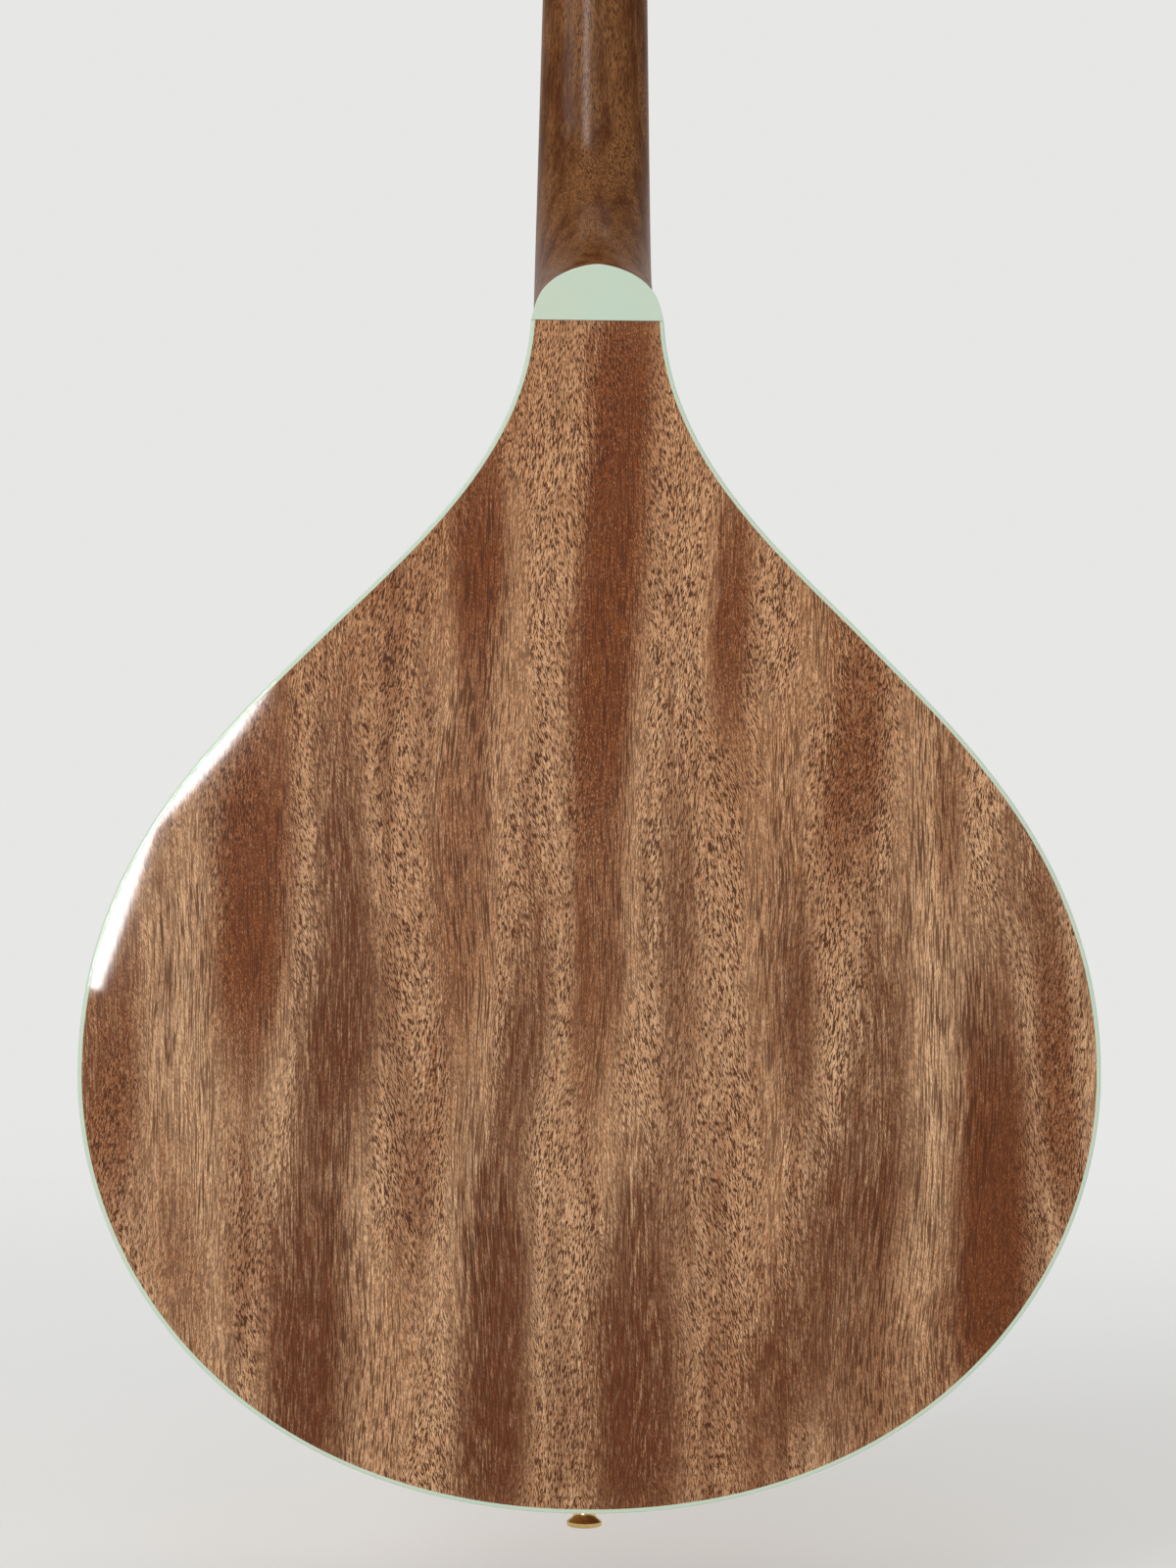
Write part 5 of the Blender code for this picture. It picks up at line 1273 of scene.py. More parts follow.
def nut_mesh():
    """Top height over x: level, less round slots y = floor + r - sqrt(r^2 - dx^2)."""
    half = NUT_WIDTH / 2.0
    x = np.linspace(-half, half, 481)
    top = NUT_HEIGHT - 0.0008 * rounding(np.clip((half - np.abs(x)) / 0.0008, 0.0, 1.0))
    floor = board_top(0.0) + STRING_LIFT - NUT_SLOT_DEPTH
    for radius, place, _ in string_places():
        wide, away = radius + NUT_SLOT_ROOM, np.abs(x - place)
        slot = floor + wide - np.sqrt(np.clip(wide**2 - away**2, 0.0, None))
        top = np.where(away < wide, np.minimum(top, slot), top)
    rows = []
    steps = ((0.0, 0.0004), (0.0003, 0.0), (0.0030, 0.0001), (0.0042, 0.0004), (NUT_THICK, 0.0010))
    for z, drop in steps:
        y = np.minimum(top, NUT_HEIGHT - drop)
        upper = np.stack([x, y, np.full(x.shape, z)], axis=1)
        lower = upper[::-1] * [1.0, 0.0, 1.0] + [0.0, SEAT, 0.0]
        rows.append(np.concatenate([upper, lower]))
    return surface("nut_bone", np.stack(rows), sharp=50.0)


class MANDOLIN_OT_nut(bpy.types.Operator):
    """Build the bone nut with its eight slots."""

    bl_idname = "mandolin.nut"
    bl_label = "Nut"

    def execute(self, context):
        piece("nut_bone", nut_mesh(), "bone", replaces=["nut"])
        return {"FINISHED"}


def veneer_mesh():
    """The headstock's outline from below the flare over the crown and back, given a thickness."""
    z = head_heights(np.linspace(3.0 * SEAT, HEAD_FLARE, 24), 36)
    x = head_half(z)
    edge = np.concatenate([np.stack([x, z], 1), np.stack([-x, z], 1)[-2::-1]])
    way = np.array([0.0, HEAD_LENGTH / 2.0]) - edge
    way /= np.linalg.norm(way, axis=1)[:, None]
    levels = ((SEAT / 10.0, 0.0), (HEADPLATE_THICK, 0.0), (SEAT + HEADPLATE_THICK, 0.0003))
    rows = [at_y(edge + shrink * way, y) for y, shrink in levels]
    return surface("headstock_veneer", tilted(np.stack(rows)))


def post_places():
    """Heights of a side's four posts in the headstock's own frame."""
    return [FIRST_POST + POST_SPACING * i for i in range(4)]


def head_cutters():
    """Bores for the posts and the pocket of the truss rod's nut."""
    profile = [(POST_BORE, -0.03), (POST_BORE, 0.015)]
    cutters = [
        in_head(lathe("bore", profile, 32, "Y", (x, 0.0, z)))
        for x in (POST_X, -POST_X) for z in post_places()
    ]
    half = ROD_NUT_RADIUS + 3.0 * SEAT
    pocket = block((-half, -ROD_DEPTH - half, NUT_THICK + SEAT), (half, 0.02, NUT_THICK + 0.020))
    return [*cutters, surface("pocket", pocket)]


class MANDOLIN_OT_headplate(bpy.types.Operator):
    """Build the veneer on the headstock's front."""

    bl_idname = "mandolin.headplate"
    bl_label = "Headstock veneer"

    def execute(self, context):
        mesh = carve(veneer_mesh(), head_cutters())
        piece("headstock_veneer", mesh, "rosewood", replaces=["headplate"])
        return {"FINISHED"}


# Fittings


def stud_mesh(place):
    """A screw, eased out at both ends: r = R - depth * (1 - cos(2 pi h / pitch - a)) / 2."""
    low, high = BRIDGE_BASE_HEIGHT - 0.0005, STUD_TOP
    h = np.linspace(low, high, int((high - low) / THREAD_PITCH * 8) + 1)[:, None]
    a = circle(24)[None]
    cut = THREAD_DEPTH * (1.0 - np.cos(math.tau * h / THREAD_PITCH - a)) / 2.0
    ends = np.clip(np.minimum(h - low, high - h) / THREAD_PITCH, 0.0, 1.0)
    r = STUD_RADIUS - THREAD_DEPTH + (THREAD_DEPTH - cut) * ends
    grid = np.stack([r * np.cos(a), np.broadcast_to(h, r.shape), -r * np.sin(a)], axis=2)
    return surface("stud", grid + np.array(place), sharp=80.0)


def side_view(name, x, half):
    """Rows (y, z) of one side of the bridge over x, mirrored to the other, as a closed surface."""
    other = [(y, -z) for y, z in reversed(half)]
    rows = [other[-1], *half, *other[:-1]]
    grid = [np.stack(np.broadcast_arrays(x, y, BRIDGE_Z + z), axis=1) for y, z in rows]
    return surface(name, np.stack(grid, axis=1))


def bridge_base_mesh():
    """Side view over x: thin ends that rise in an eased curve to a flat, and a relief below."""
    x = np.linspace(-BRIDGE_HALF_LENGTH, BRIDGE_HALF_LENGTH, 121)
    left = BRIDGE_HALF_LENGTH - np.abs(x)
    flat = STUD_SPACING / 2.0 + 0.006
    share = np.clip(left / (BRIDGE_HALF_LENGTH - flat), 0.0, 1.0)
    top = 0.0022 + (BRIDGE_BASE_HEIGHT - 0.0022) * eased(share)
    foot = SEAT + (0.0014 - SEAT) * eased(np.clip((0.022 - np.abs(x)) / 0.004, 0.0, 1.0))
    deep = BRIDGE_BASE_WIDTH / 2.0 - 0.0015 * rounding(np.clip(left / 0.003, 0.0, 1.0))
    return side_view("bridge_foot", x, [
        (foot, deep), (top - 0.0008, deep), (top - 0.0002, deep - 0.0003), (top, deep - 0.0012),
    ])


def saddle_mesh():
    """Side view over x with thin ends, thinned from its foot to a rounded crest."""
    x = np.linspace(-SADDLE_HALF_LENGTH, SADDLE_HALF_LENGTH, 97)
    share = np.clip((SADDLE_HALF_LENGTH - np.abs(x)) / 0.009, 0.0, 1.0)
    top = SADDLE_FOOT + 0.002 + (SADDLE_TOP - SADDLE_FOOT - 0.002) * (1.0 - rounding(share))
    thick = SADDLE_THICK / 2.0
    return side_view("saddle_block", x, [
        (SADDLE_FOOT, thick), (SADDLE_FOOT + (top - SADDLE_FOOT) * 0.45, thick),
        (top - 0.0012, SADDLE_CREST + 0.0008), (top - 0.0003, SADDLE_CREST),
        (top, SADDLE_CREST - 0.0006),
    ])


def wheel_mesh(place):
    """A bored disc whose rim is knurled: r = R * (1 - depth * (1 + cos(count * a)) / 2)."""
    a = circle(160)[None]
    bore, high = STUD_RADIUS + 0.0003, WHEEL_HEIGHT
    steps = (
        (bore, 0.0002, 0.0), (bore + 0.0002, 0.0, 0.0), (0.0047, 0.0, 0.0), (0.0052, 0.0002, 1.0),
        (0.0055, 0.0004, 1.0), (0.0055, high - 0.0004, 1.0), (0.0052, high - 0.0002, 1.0),
        (0.0047, high, 0.0), (bore + 0.0002, high, 0.0), (bore, high - 0.0002, 0.0),
    )
    r, h, knurl = np.array(steps).T[:, :, None]
    r = r * (1.0 - KNURL_DEPTH * knurl * (1.0 + np.cos(KNURLS * a)) / 2.0)
    grid = np.stack([r * np.cos(a), np.broadcast_to(h, r.shape), -r * np.sin(a)], axis=2)
    return surface("wheel", grid + np.array(place), wrap_rows=True, sharp=28.0)


class MANDOLIN_OT_bridge(bpy.types.Operator):
    """Build the bridge: foot, threaded studs, knurled wheels and the saddle they carry."""

    bl_idname = "mandolin.bridge"
    bl_label = "Bridge"

    def execute(self, context):
        studs, bores = [], []
        for side, hand in (("bass", 1.0), ("treble", -1.0)):
            place = (hand * STUD_SPACING / 2.0, 0.0, BRIDGE_Z)
            studs.append(stud_mesh(place))
            bore = [(SADDLE_BORE, SADDLE_FOOT + step) for step in (-0.004, 0.004)]
            bores.append(lathe("bore", bore, 32, "Y", place))
            mesh = wheel_mesh((place[0], SADDLE_FOOT - SEAT - WHEEL_HEIGHT, BRIDGE_Z))
            name = f"thumbwheel_{side}"
            piece(f"bridge_wheel_{side}", mesh, "brass", body=name, replaces=[name])
        piece("bridge_foot", bridge_base_mesh(), "rosewood", replaces=["bridge_base"])
        piece("bridge_studs", joined("bridge_studs", studs), "brass")
        mesh = carve(saddle_mesh(), bores)
        piece("saddle_block", mesh, "rosewood", body="saddle", replaces=["bridge_saddle"])
        return {"FINISHED"}


def screw_master():
    """A domed and slotted head of radius 1 on +Y."""
    dome = [(1.0, -0.3), (1.0, 0.0), (0.94, 0.12), (0.75, 0.32), (0.5, 0.45), (0.25, 0.52)]
    head = lathe("screw", [(0.0, -0.3), *dome, (0.0, 0.55)], 20, "Y")
    return carve(head, [surface("slot", block((-1.2, 0.18, -0.13), (1.2, 1.0, 0.13)))])


def screws_mesh(name, places, radius, order, signs):
    """The master head at each place, turned its own way, its axes reordered and signed."""
    master = screw_master()
    x, y, z = coords(master).T * radius
    meshes = []
    for i, place in enumerate(places):
        c, s = math.cos(0.7 + 1.9 * i), math.sin(0.7 + 1.9 * i)
        points = np.stack([x * c - z * s, y, x * s + z * c], axis=1)
        meshes.append(reshaped(master.copy(), points[:, order] * signs + np.array(place)))
    bpy.data.meshes.remove(master)
    return joined(name, meshes)


def tail_plate_mesh():
    """A bent plate: its (y, z) section, with a rounded bend, carried across the width."""
    foot, reach = TAIL_Z - SEAT, TAIL_Z + TAIL_REACH
    low, high = foot - TAIL_THICK, TAIL_LIFT + TAIL_THICK
    corner, inside = 0.0022, 0.001
    turn = [(1.0 - math.sin(a), 1.0 - math.cos(a)) for a in quarter(8)]
    outer = [(high - corner * short, low + corner * rise) for short, rise in turn]
    inner = [(TAIL_LIFT - inside * rise, foot + inside * short) for short, rise in turn]
    profile = [
        (-TAIL_DROP, foot), (-TAIL_DROP, low), *outer, (high, reach), (TAIL_LIFT, reach), *inner,
    ]
    y, z = np.array(profile).T
    rows = []
    ends = ((0.95, 0.0), (0.985, 0.35), (1.0, 1.0))
    for x, shrink in (*((-x, shrink) for x, shrink in reversed(ends)), *ends):
        tip = np.where(z > reach - 0.001, -corner * shrink, 0.0)
        drop = np.where(y < -TAIL_DROP + 0.001, corner * shrink, 0.0)
        rows.append(np.stack([np.full(y.shape, x * TAIL_WIDTH / 2.0), y + drop, z + tip], axis=1))
    return surface("tail_plate", np.stack(rows))


def hook_places():
    """x and z of the eight hooks, bass to treble, in two staggered rows."""
    spacing = (TAIL_WIDTH - 0.008) / 7.0
    return [((3.5 - i) * spacing, TAIL_Z + HOOK_ROWS[i % 2]) for i in range(8)]


def hooks_mesh():
    """Turned pegs with a waist under a rounded head."""
    profile = [
        (0.0, -0.0005), (0.0011, -0.0005), (0.0011, 0.0004), (0.00095, 0.0008), (0.00095, 0.0021),
        (0.00115, 0.0025), (0.00115, 0.0029), (0.0009, 0.0032), (0.0, 0.0033),
    ]
    places = [(x, TAIL_LIFT + TAIL_THICK, z) for x, z in hook_places()]
    return joined("string_hooks", [lathe("hook", profile, 20, "Y", place) for place in places])


class MANDOLIN_OT_tailpiece(bpy.types.Operator):
    """Build the plated tailpiece with its hooks and screws."""

    bl_idname = "mandolin.tailpiece"
    bl_label = "Tailpiece"

    def execute(self, context):
        piece("tail_plate", tail_plate_mesh(), "chrome", replaces=["tailpiece"], bevel=0.0003)
        piece("string_hooks", hooks_mesh(), "chrome")
        across, y, radius = TAIL_SCREWS
        places = [(x, y, TAIL_Z - SEAT - TAIL_THICK) for x in across]
        mesh = screws_mesh("tail_screws", places, radius, [0, 2, 1], [1.0, 1.0, -1.0])
        piece("tail_screws", mesh, "chrome")
        return {"FINISHED"}


# Tuners


def in_head(mesh):
    """A mesh given in the headstock's own frame, brought into the model's."""
    return reshaped(mesh, tilted(coords(mesh)))


def machine_plate_mesh(x):
    """A rounded plate with bent up ears on both sides of each worm, bored for posts and shafts."""
    low = FIRST_POST - WORM_CENTRE - 0.0075
    high = post_places()[-1] + POST_RADIUS + 0.009
    radius, half = 0.0035, PLATE_WIDTH / 2.0
    turn = quarter(7)
    corner = np.stack([half - radius + radius * np.cos(turn), radius * np.sin(turn) - radius], 1)
    right = np.concatenate([(corner * [1.0, -1.0] + [0.0, low])[::-1], corner + [0.0, high]])
    edge = np.concatenate([right, (right * [-1.0, 1.0])[::-1]])
    middle = edge.mean(axis=0)
    rows = []
    for rise, shrink in ((0.0, 0.985), (0.0003, 1.0), (PLATE_THICK, 1.0)):
        line = middle + (edge - middle) * [shrink, 1.0 - (1.0 - shrink) / 6.0]
        rows.append(at_y(line + [x, 0.0], PLATE_BACK + rise))
    profile = [(0.0034, -0.03), (0.0034, 0.0)]
    holes = [lathe("hole", profile, 28, "Y", (x, 0.0, z)) for z in post_places()]
    plate = carve(surface("machine_plate", np.stack(rows)), holes)
    gap = WORM_LENGTH / 2.0 + SEAT
    ears = [
        ear_mesh(x + start, z - WORM_CENTRE)
        for z in post_places() for start in (gap, -gap - EAR_THICK)
    ]
    return in_head(joined("machine_plate", [plate, *ears]))


def ear_mesh(x, z):
    """A rounded lug round a bore: its rim is joined to the bore's circle on both faces."""
    wide, tall = 0.003, PLATE_BACK + PLATE_THICK / 2.0 - GEAR_Y
    c, s = np.cos(circle(40)), np.sin(circle(40))
    square = np.maximum(np.maximum(np.abs(s), np.abs(c) * tall / wide), 1e-6)
    reach = np.where(s > 0.0, tall / square, wide)
    bore = SHAFT_RADIUS + 0.0002
    rows = []
    for radius, step in ((bore, 0.0), (bore, EAR_THICK), (reach, EAR_THICK), (reach, 0.0)):
        rows.append(np.stack([np.full(c.shape, x + step), GEAR_Y + radius * s, z + radius * c], 1))
    return surface("ear", np.stack(rows), wrap_rows=True)


def gear_mesh(x, z):
    """Straight flanked teeth at the solid's own angles, slanted to the worm's lead."""
    outer, root = GEAR_RADIUS + TOOTH_RISE, GEAR_RADIUS - TOOTH_FALL
    share = np.array([-0.27, -0.095, 0.095, 0.27])
    radius = np.tile([root, outer, outer, root], GEAR_TEETH)
    turn = ((np.arange(GEAR_TEETH)[:, None] + share) * math.tau / GEAR_TEETH).ravel()
    lead = WORM_PITCH / (math.tau * WORM_RADIUS)
    rows = []
    for rise in np.linspace(-GEAR_THICK / 2.0, GEAR_THICK / 2.0, 4):
        a = turn + lead * rise / GEAR_RADIUS
        line = np.stack([x - radius * np.sin(a), z - radius * np.cos(a)], axis=1)
        rows.append(at_y(line, GEAR_Y + rise))
    return surface("gear", np.stack(rows))


def post_mesh(x, z):
    """The post turned above the plate: a waist for the string, a chamfered top and a collar."""
    top, radius, waist, foot = POST_TOP, POST_RADIUS, POST_WAIST, PLATE_BACK - SEAT
    profile = [
        (0.0, top - 0.0003), (0.0016, top - 0.0003), (0.0019, top), (radius - 0.0006, top),
        (radius - 0.0001, top - 0.0003), (radius, top - 0.0009), (radius, 0.0122),
        (waist + 0.0001, 0.0109), (waist, 0.0104), (waist, 0.0062), (waist + 0.0001, 0.0058),
        (radius, 0.0050), (radius, foot), (0.0042, foot), (0.0042, GEAR_Y), (0.0, GEAR_Y),
    ]
    return lathe("post", profile, 40, "Y", (x, 0.0, z))


def gear_cap_mesh(x, z):
    """The screw that holds the gear to its post."""
    end = GEAR_Y - GEAR_THICK / 2.0
    profile = [
        (0.0, end + 0.0005), (0.0024, end + 0.0005), (0.0024, end - 0.0006),
        (0.0021, end - 0.0010), (0.0012, end - 0.0012), (0.0, end - 0.0012),
    ]
    return lathe("gear_cap", profile, 28, "Y", (x, 0.0, z))


def worm_mesh(x, z):
    """r(h, a) = root + rise * clip((0.265 - |u|) / 0.165), with u = h / pitch - a / 2 pi."""
    root = WORM_CENTRE - GEAR_RADIUS - TOOTH_RISE - MESH_ROOM
    crest = WORM_CENTRE - GEAR_RADIUS + TOOTH_FALL - MESH_ROOM
    half = WORM_LENGTH / 2.0
    h = np.linspace(-half, half, 88)[:, None]
    a = circle(32)[None]
    start = math.pi / 2.0 + math.tau * (0.5 - WORM_TURNS / 2.0)
    u = h / WORM_PITCH + WORM_TURNS / 2.0 - (a - start) / math.tau
    u = u - np.round(u)
    rise = np.clip((0.265 - np.abs(u)) / 0.165, 0.0, 1.0)
    rise = rise * np.clip((half - np.abs(h)) / (0.3 * WORM_PITCH), 0.0, 1.0)
    r = root + (crest - root) * rise
    around = [np.broadcast_to(h, r.shape) + x, GEAR_Y - r * np.cos(a), z + r * np.sin(a)]
    return surface("worm", np.stack(around, axis=2), sharp=40.0)


def shaft_mesh(x, z, hand):
    """The shaft with its collar, along the worm's axis."""
    tip = -(WORM_LENGTH / 2.0 + EAR_THICK + 3.0 * SEAT)
    neck = KEY_REACH - 0.0022
    profile = [
        (0.0, tip), (SHAFT_RADIUS - 0.0003, tip), (SHAFT_RADIUS, tip + 0.0003),
        (SHAFT_RADIUS, neck - 0.0006), (0.0022, neck - 0.0004), (0.0024, neck),
        (0.0024, KEY_REACH - 0.0004), (0.0018, KEY_REACH + 0.0004), (0.0018, KEY_REACH + 0.003),
        (0.0, KEY_REACH + 0.003),
    ]
    mesh = lathe("shaft", profile, 28, "X")
    reshaped(mesh, coords(mesh) * [hand, 1.0, 1.0] + [x, GEAR_Y, z])
    if hand < 0.0:
        mesh.flip_normals()
    return mesh


def button_mesh(x, z, hand):
    """An oval button: ellipses whose size follows a rounded profile along the shaft."""
    long, wide, thick = BUTTON
    t = np.linspace(0.0, math.pi, 23)[:, None]
    share = (1.0 - np.cos(t)) / 2.0
    waist = 1.0 - 0.16 * (1.0 - share) ** 2
    body = np.maximum(np.sin(t), 0.0)
    c, s = np.cos(circle(36)), np.sin(circle(36))
    y = thick * body**0.5 * np.sign(c) * np.abs(c) ** 0.85
    w = wide * body**0.62 * waist * np.sign(s) * np.abs(s) ** 0.95
    u = np.broadcast_to(hand * (KEY_REACH + long * share), y.shape)
    return surface("button", np.stack([x + u, GEAR_Y + y, z + w], axis=2), caps=False)


def bushing_mesh(x, z):
    """A flanged ring in the veneer round a post."""
    face = SEAT + HEADPLATE_THICK
    profile = [
        (0.0033, face - 0.002), (0.0033, face + 0.0009), (0.0036, face + 0.0011),
        (0.0046, face + 0.0008), (0.0052, face + 0.0003), (0.0053, face - 0.0001),
        (0.00355, face - 0.0002), (0.00355, face - 0.002),
    ]
    return lathe("bushing", profile, 40, "Y", (x, 0.0, z), ring=True)


class MANDOLIN_OT_tuners(bpy.types.Operator):
    """Build both plates of tuners: posts, gears, worm keys, buttons, bushings and screws."""

    bl_idname = "mandolin.tuners"
    bl_label = "Tuners"

    def execute(self, context):
        bushings, screws = [], []
        for side, hand in (("bass", 1.0), ("treble", -1.0)):
            x = hand * POST_X
            plate = f"tuner_plate_{side}"
            piece(f"machine_plate_{side}", machine_plate_mesh(x), "chrome", replaces=[plate])
            for i, z in enumerate(post_places()):
                place = f"{side}_{i + 1}"
                post, key, worm = f"tuner_post_{place}", f"tuner_key_{place}", z - WORM_CENTRE
                for name, mesh, finish, body, replaces in (
                    ("post", post_mesh(x, z), "chrome", post, [post]),
                    ("gear", gear_mesh(x, z), "brass", post, []),
                    ("gear_cap", gear_cap_mesh(x, z), "chrome", post, []),
                    ("worm_shaft", joined("worm_shaft", [
                        worm_mesh(x, worm), shaft_mesh(x, worm, hand),
                    ]), "steel", key, []),
                    ("button", button_mesh(x, worm, hand), "key_buttons", key, [key]),
                ):
                    piece(f"{name}_{place}", in_head(mesh), finish, body=body, replaces=replaces)
                bushings.append(bushing_mesh(x, z))
            for low, high in zip(post_places(), post_places()[1:]):
                screws.append((x - hand * 0.0045, PLATE_BACK, (low + high) / 2.0 - 0.0035))
        piece("post_bushings", in_head(joined("post_bushings", bushings)), "chrome")
        mesh = screws_mesh(
            "plate_screws", screws, PLATE_SCREW_RADIUS, [0, 1, 2], [1.0, -1.0, -1.0])
        piece("plate_screws", in_head(mesh), "chrome")
        return {"FINISHED"}


# Strings


def along_path(path):
    """Directions ahead, aside and up along a path, aside being level."""
    ahead = np.gradient(path, axis=0)
    ahead /= np.linalg.norm(ahead, axis=1)[:, None]
    side = np.cross(ahead, [0.0, 1.0, 0.0])
    side /= np.linalg.norm(side, axis=1)[:, None]
    return ahead, side, np.cross(side, ahead)


def tube(name, path, radius, sides=8):
    """A circle carried along a path: path + r * (cos a * aside + sin a * up)."""
    _, side, up = along_path(path)
    a = circle(sides)[:, None, None]
    grid = path + radius * (np.cos(a) * side + np.sin(a) * up)
    return surface(name, np.swapaxes(grid, 0, 1), sharp=60.0)


def winding(radius, x_nut, hand, z_post):
    """Turns round a post: angle and rise grow evenly from where the string meets it."""
    wide = POST_WAIST + SEAT + radius
    dx, dz = hand * POST_X - x_nut, z_post
    lean = math.asin(wide / math.hypot(dx, dz))
    first = math.atan2(dz, dx) + hand * (math.pi / 2.0 + lean)
    turns = np.linspace(0.0, STRING_WINDS, 80)
    a = first - hand * math.tau * turns
    rise = WIND_HEIGHT + (2.0 * radius + TURN_GAP) * turns
    return np.stack([hand * POST_X + wide * np.cos(a), rise, z_post + wide * np.sin(a)], axis=1)


def string_path(i, radius, x_nut, x_bridge):
    """From the hook over the saddle and the nut to the post, then round it."""
    hand, order = (1.0, i) if i < 4 else (-1.0, 7 - i)
    y_nut = board_top(0.0) + STRING_LIFT + radius
    hook_x, hook_z = hook_places()[i]
    hook_y = TAIL_LIFT + TAIL_THICK + HOOK_WAIST_HEIGHT + radius
    start = np.array([hook_x, hook_y, hook_z + 0.0014])
    saddle = np.array([x_bridge, SADDLE_TOP + SEAT + radius, BRIDGE_Z])
    edge, lead = (np.array([x_nut, y_nut, z]) for z in (0.0, NUT_THICK + SEAT))
    turns = tilted(winding(radius, x_nut, hand, post_places()[order]))
    return np.concatenate([
        start + (saddle - start) * np.linspace(0.0, 0.988, 8)[:, None], saddle[None],
        saddle + (edge - saddle) * np.linspace(0.004, 0.997, 24)[:, None], edge[None], lead[None],
        lead + (turns[0] - lead) * np.linspace(0.0, 1.0, 12)[1:-1, None], turns,
    ])


def loop_mesh(i, radius, path):
    """The string's end: a ring round its hook, and its tail twisted about the string."""
    x, z = hook_places()[i]
    a = circle(32)
    out = np.stack([np.cos(a), np.zeros(a.shape), np.sin(a)], axis=1)
    ring = [x, path[0][1], z] + (LOOP_ROOM + radius) * out
    sides = circle(8)[:, None, None]
    grid = ring + radius * (np.cos(sides) * out + np.sin(sides) * np.array([0.0, 1.0, 0.0]))
    loop = surface("loop", np.swapaxes(grid, 0, 1), wrap_rows=True)
    ahead, side, up = (row[0] for row in along_path(path[:5:4]))
    t = np.linspace(0.0, 1.0, 90)[:, None]
    b = math.tau * TWIST_TURNS * t
    spiral = 2.0 * radius * (np.cos(b) * side + np.sin(b) * up)
    twist = path[0] + ahead * (TWIST_START + TWIST_LENGTH * t) + spiral
    return [loop, tube("twist", twist, radius, 6)]


class MANDOLIN_OT_strings(bpy.types.Operator):
    """Stretch the eight strings, with their loops at the tail and turns on the posts."""

    bl_idname = "mandolin.strings"
    bl_label = "Strings"

    def execute(self, context):
        for i, (radius, x_nut, x_bridge) in enumerate(string_places()):
            path = string_path(i, radius, x_nut, x_bridge)
            name = f"wire_{i + 1}"
            mesh = joined(name, [tube("wire", path, radius), *loop_mesh(i, radius, path)])
            finish = "bronze_string" if i < 4 else "steel_string"
            piece(name, mesh, finish, replaces=[f"string_{i + 1}"])
        return {"FINISHED"}


# Kept nodes and the stage


class MANDOLIN_OT_paint(bpy.types.Operator):
    """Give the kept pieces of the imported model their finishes."""

    bl_idname = "mandolin.paint"
    bl_label = "Paint kept pieces"

    def execute(self, context):
        for entry in frame["record"]["subparts"]:
            item = NODES[entry["node"]]
            slot = entry["material_slot"]
            finish = FINISHES.get(slot) or FINISHES["mahogany"]
            for i in range(max(len(item.material_slots), 1)):
                if i < len(item.material_slots):
                    item.material_slots[i].material = finish
                else:
                    item.data.materials.append(finish)
        return {"FINISHED"}


class MANDOLIN_OT_stage(bpy.types.Operator):
    """Set the pale floor, the soft lamps and the camera."""

    bl_idname = "mandolin.stage"
    bl_label = "Stage"

    def execute(self, context):
        make_world()
        make_floor()
        make_lamps()
        make_camera()
        return {"FINISHED"}


def aim(item, target, roll=0.0):
    """Turn an object's -Z axis to a point, with its Y axis up and a roll about the view."""
    away = Vector(item.location) - Vector(target)
    turn = away.to_track_quat("Z", "Y").to_matrix().to_4x4() @ Matrix.Rotation(roll, 4, "Z")
    item.rotation_euler = turn.to_euler()


def make_camera():
    """A level camera behind the instrument, as far and as long as the photograph's."""
    data = bpy.data.cameras.new("camera")
    data.sensor_width = 36.0
    data.lens = LENS
    item = bpy.data.objects.new("camera", data)
    bpy.context.scene.collection.objects.link(item)
    item.location = CAMERA_PLACE
    aim(item, CAMERA_TARGET, CAMERA_ROLL)
    bpy.context.scene.camera = item


def make_world():
    """Pale to the camera, in reflections and through clear things, dimmer as light."""
    world = bpy.data.worlds.new("studio")
    bpy.context.scene.world = world
    world.use_nodes = True
    tree = world.node_tree
    tree.nodes.clear()
    rays = put(tree, "LightPath").outputs
    seen = sums(tree, "MAXIMUM", rays["Is Camera Ray"], rays["Is Transmission Ray"])
    seen = sums(tree, "MAXIMUM", seen, rays["Is Glossy Ray"])
    shown = put(tree, "Background", {"Color": PAPER, "Strength": 1.0}).outputs[0]
    light = put(tree, "Background", {"Color": (1.0, 1.0, 1.0), "Strength": 0.42}).outputs[0]
    put(tree, "OutputWorld", {0: put(tree, "MixShader", {0: seen, 1: light, 2: shown}).outputs[0]})


def make_floor():
    """A wide disc that fades out into the background."""
    rings = np.array([1e-4, 0.5, 1.0, 1.6, 2.4, 3.2])[:, None]
    x, y = rings * np.cos(circle(64)), rings * np.sin(circle(64))
    mesh = surface("floor", np.stack([x, y, np.full(x.shape, FLOOR_Z)], axis=2), caps=False)
    tree, shader, where = new_finish("floor", Base_Color=(*PAPER, 1.0), Roughness=0.9)
    level = put(tree, "VectorMath", {0: where, 1: (1.0, 1.0, 0.0)}, operation="MULTIPLY")
    far = put(tree, "VectorMath", {0: level.outputs[0]}, operation="LENGTH").outputs["Value"]
    tree.links.new(ramp(tree, far, 0.5, 1.9, 1.0, 0.0), shader.inputs["Alpha"])
    mesh.materials.append(FINISHES["floor"])
    item = bpy.data.objects.new("floor", mesh)
    bpy.context.scene.collection.objects.link(item)


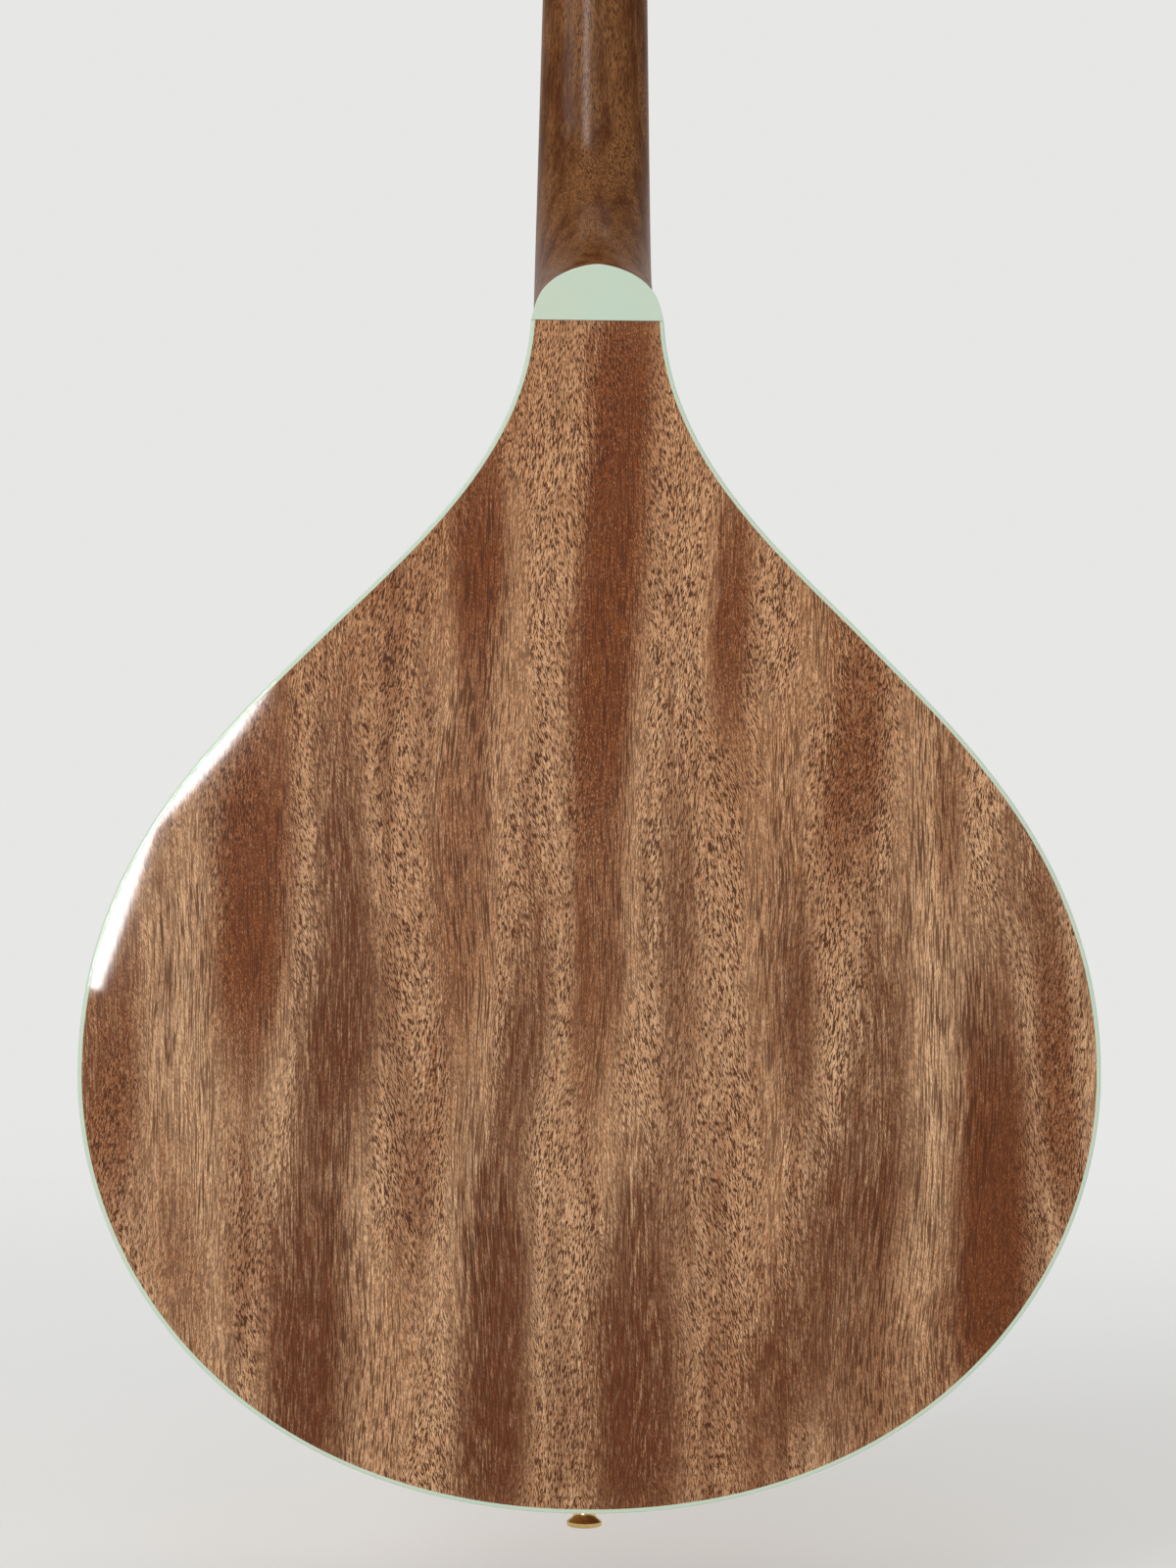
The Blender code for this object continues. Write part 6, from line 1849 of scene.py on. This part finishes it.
# Each lamp's name, place, size, power in watts and roll in degrees. All aim at one point.
LAMP_TARGET = (0.0, -0.03, -0.45)
LAMPS = (
    ("key", (-1.6, -2.2, 0.6), (1.4, 1.4), 32.0, 0.0),
    ("fill", (0.5, -2.6, 0.3), (1.8, 1.8), 13.0, 0.0),
    ("rim_low", (-0.500, -1.55, -0.489), (0.06, 0.227), 4.2, -17.7),
    ("rim_high", (-0.416, -1.55, -0.347), (0.06, 0.214), 3.9, -43.9),
    ("neck_gleam", (-0.195, -1.50, 0.43), (0.20, 0.90), 15.0, 0.0),
    ("front_key", (1.6, 2.4, 0.6), (1.4, 1.4), 30.0, 0.0),
    ("front_fill", (-1.8, 2.0, -0.2), (1.4, 1.4), 18.0, 0.0),
    ("top", (0.0, 0.0, 1.9), (1.2, 1.2), 10.0, 0.0),
)

# These only show as reflections, along the back's left rim and down the neck
GLEAMS = ("rim_low", "rim_high", "neck_gleam")
# These light the instrument without showing in its varnish
MATTE = ("fill", "front_key", "front_fill")


def make_lamps():
    """Large soft lamps round the instrument, and narrow ones for gleams."""
    for name, place, size, power, roll in LAMPS:
        light = bpy.data.lights.new(name, "AREA")
        light.shape = "RECTANGLE"
        light.size, light.size_y = size
        light.energy = power
        item = bpy.data.objects.new(name, light)
        bpy.context.scene.collection.objects.link(item)
        item.location = place
        item.visible_diffuse = name not in GLEAMS
        item.visible_glossy = name not in MATTE
        aim(item, LAMP_TARGET, math.radians(roll))


class MANDOLIN_PT_panel(bpy.types.Panel):
    """Lists the pieces, the sizes and the finishes."""

    bl_label = "Octave mandolin"
    bl_idname = "MANDOLIN_PT_panel"
    bl_space_type = "VIEW_3D"
    bl_region_type = "UI"
    bl_category = "Mandolin"

    def draw(self, context):
        layout = self.layout
        for operator in OPERATORS:
            layout.operator(operator.bl_idname)
        for settings in (context.scene.mandolin_sizes, context.scene.mandolin_finishes):
            column = layout.column(align=True)
            for name in settings.__annotations__:
                column.prop(settings, name)


OPERATORS = (
    MANDOLIN_OT_back_panel, MANDOLIN_OT_bindings, MANDOLIN_OT_sides, MANDOLIN_OT_neck,
    MANDOLIN_OT_headplate, MANDOLIN_OT_soundboard, MANDOLIN_OT_fingerboard, MANDOLIN_OT_nut,
    MANDOLIN_OT_bridge, MANDOLIN_OT_tailpiece, MANDOLIN_OT_strap_button, MANDOLIN_OT_tuners,
    MANDOLIN_OT_strings, MANDOLIN_OT_paint, MANDOLIN_OT_stage,
)
CLASSES = (MandolinSizes, MandolinFinishes, MANDOLIN_PT_panel, *OPERATORS)


def register():
    for item in CLASSES:
        bpy.utils.register_class(item)
    bpy.types.Scene.mandolin_sizes = bpy.props.PointerProperty(type=MandolinSizes)
    bpy.types.Scene.mandolin_finishes = bpy.props.PointerProperty(type=MandolinFinishes)


def unregister():
    del bpy.types.Scene.mandolin_finishes
    del bpy.types.Scene.mandolin_sizes
    for item in reversed(CLASSES):
        bpy.utils.unregister_class(item)


def main():
    """Build everything in order."""
    register()
    bpy.context.scene.view_settings.view_transform = "Standard"
    make_finishes()
    for operator in OPERATORS:
        area, name = operator.bl_idname.split(".")
        getattr(getattr(bpy.ops, area), name)()


if __name__ == "__main__":
    main()
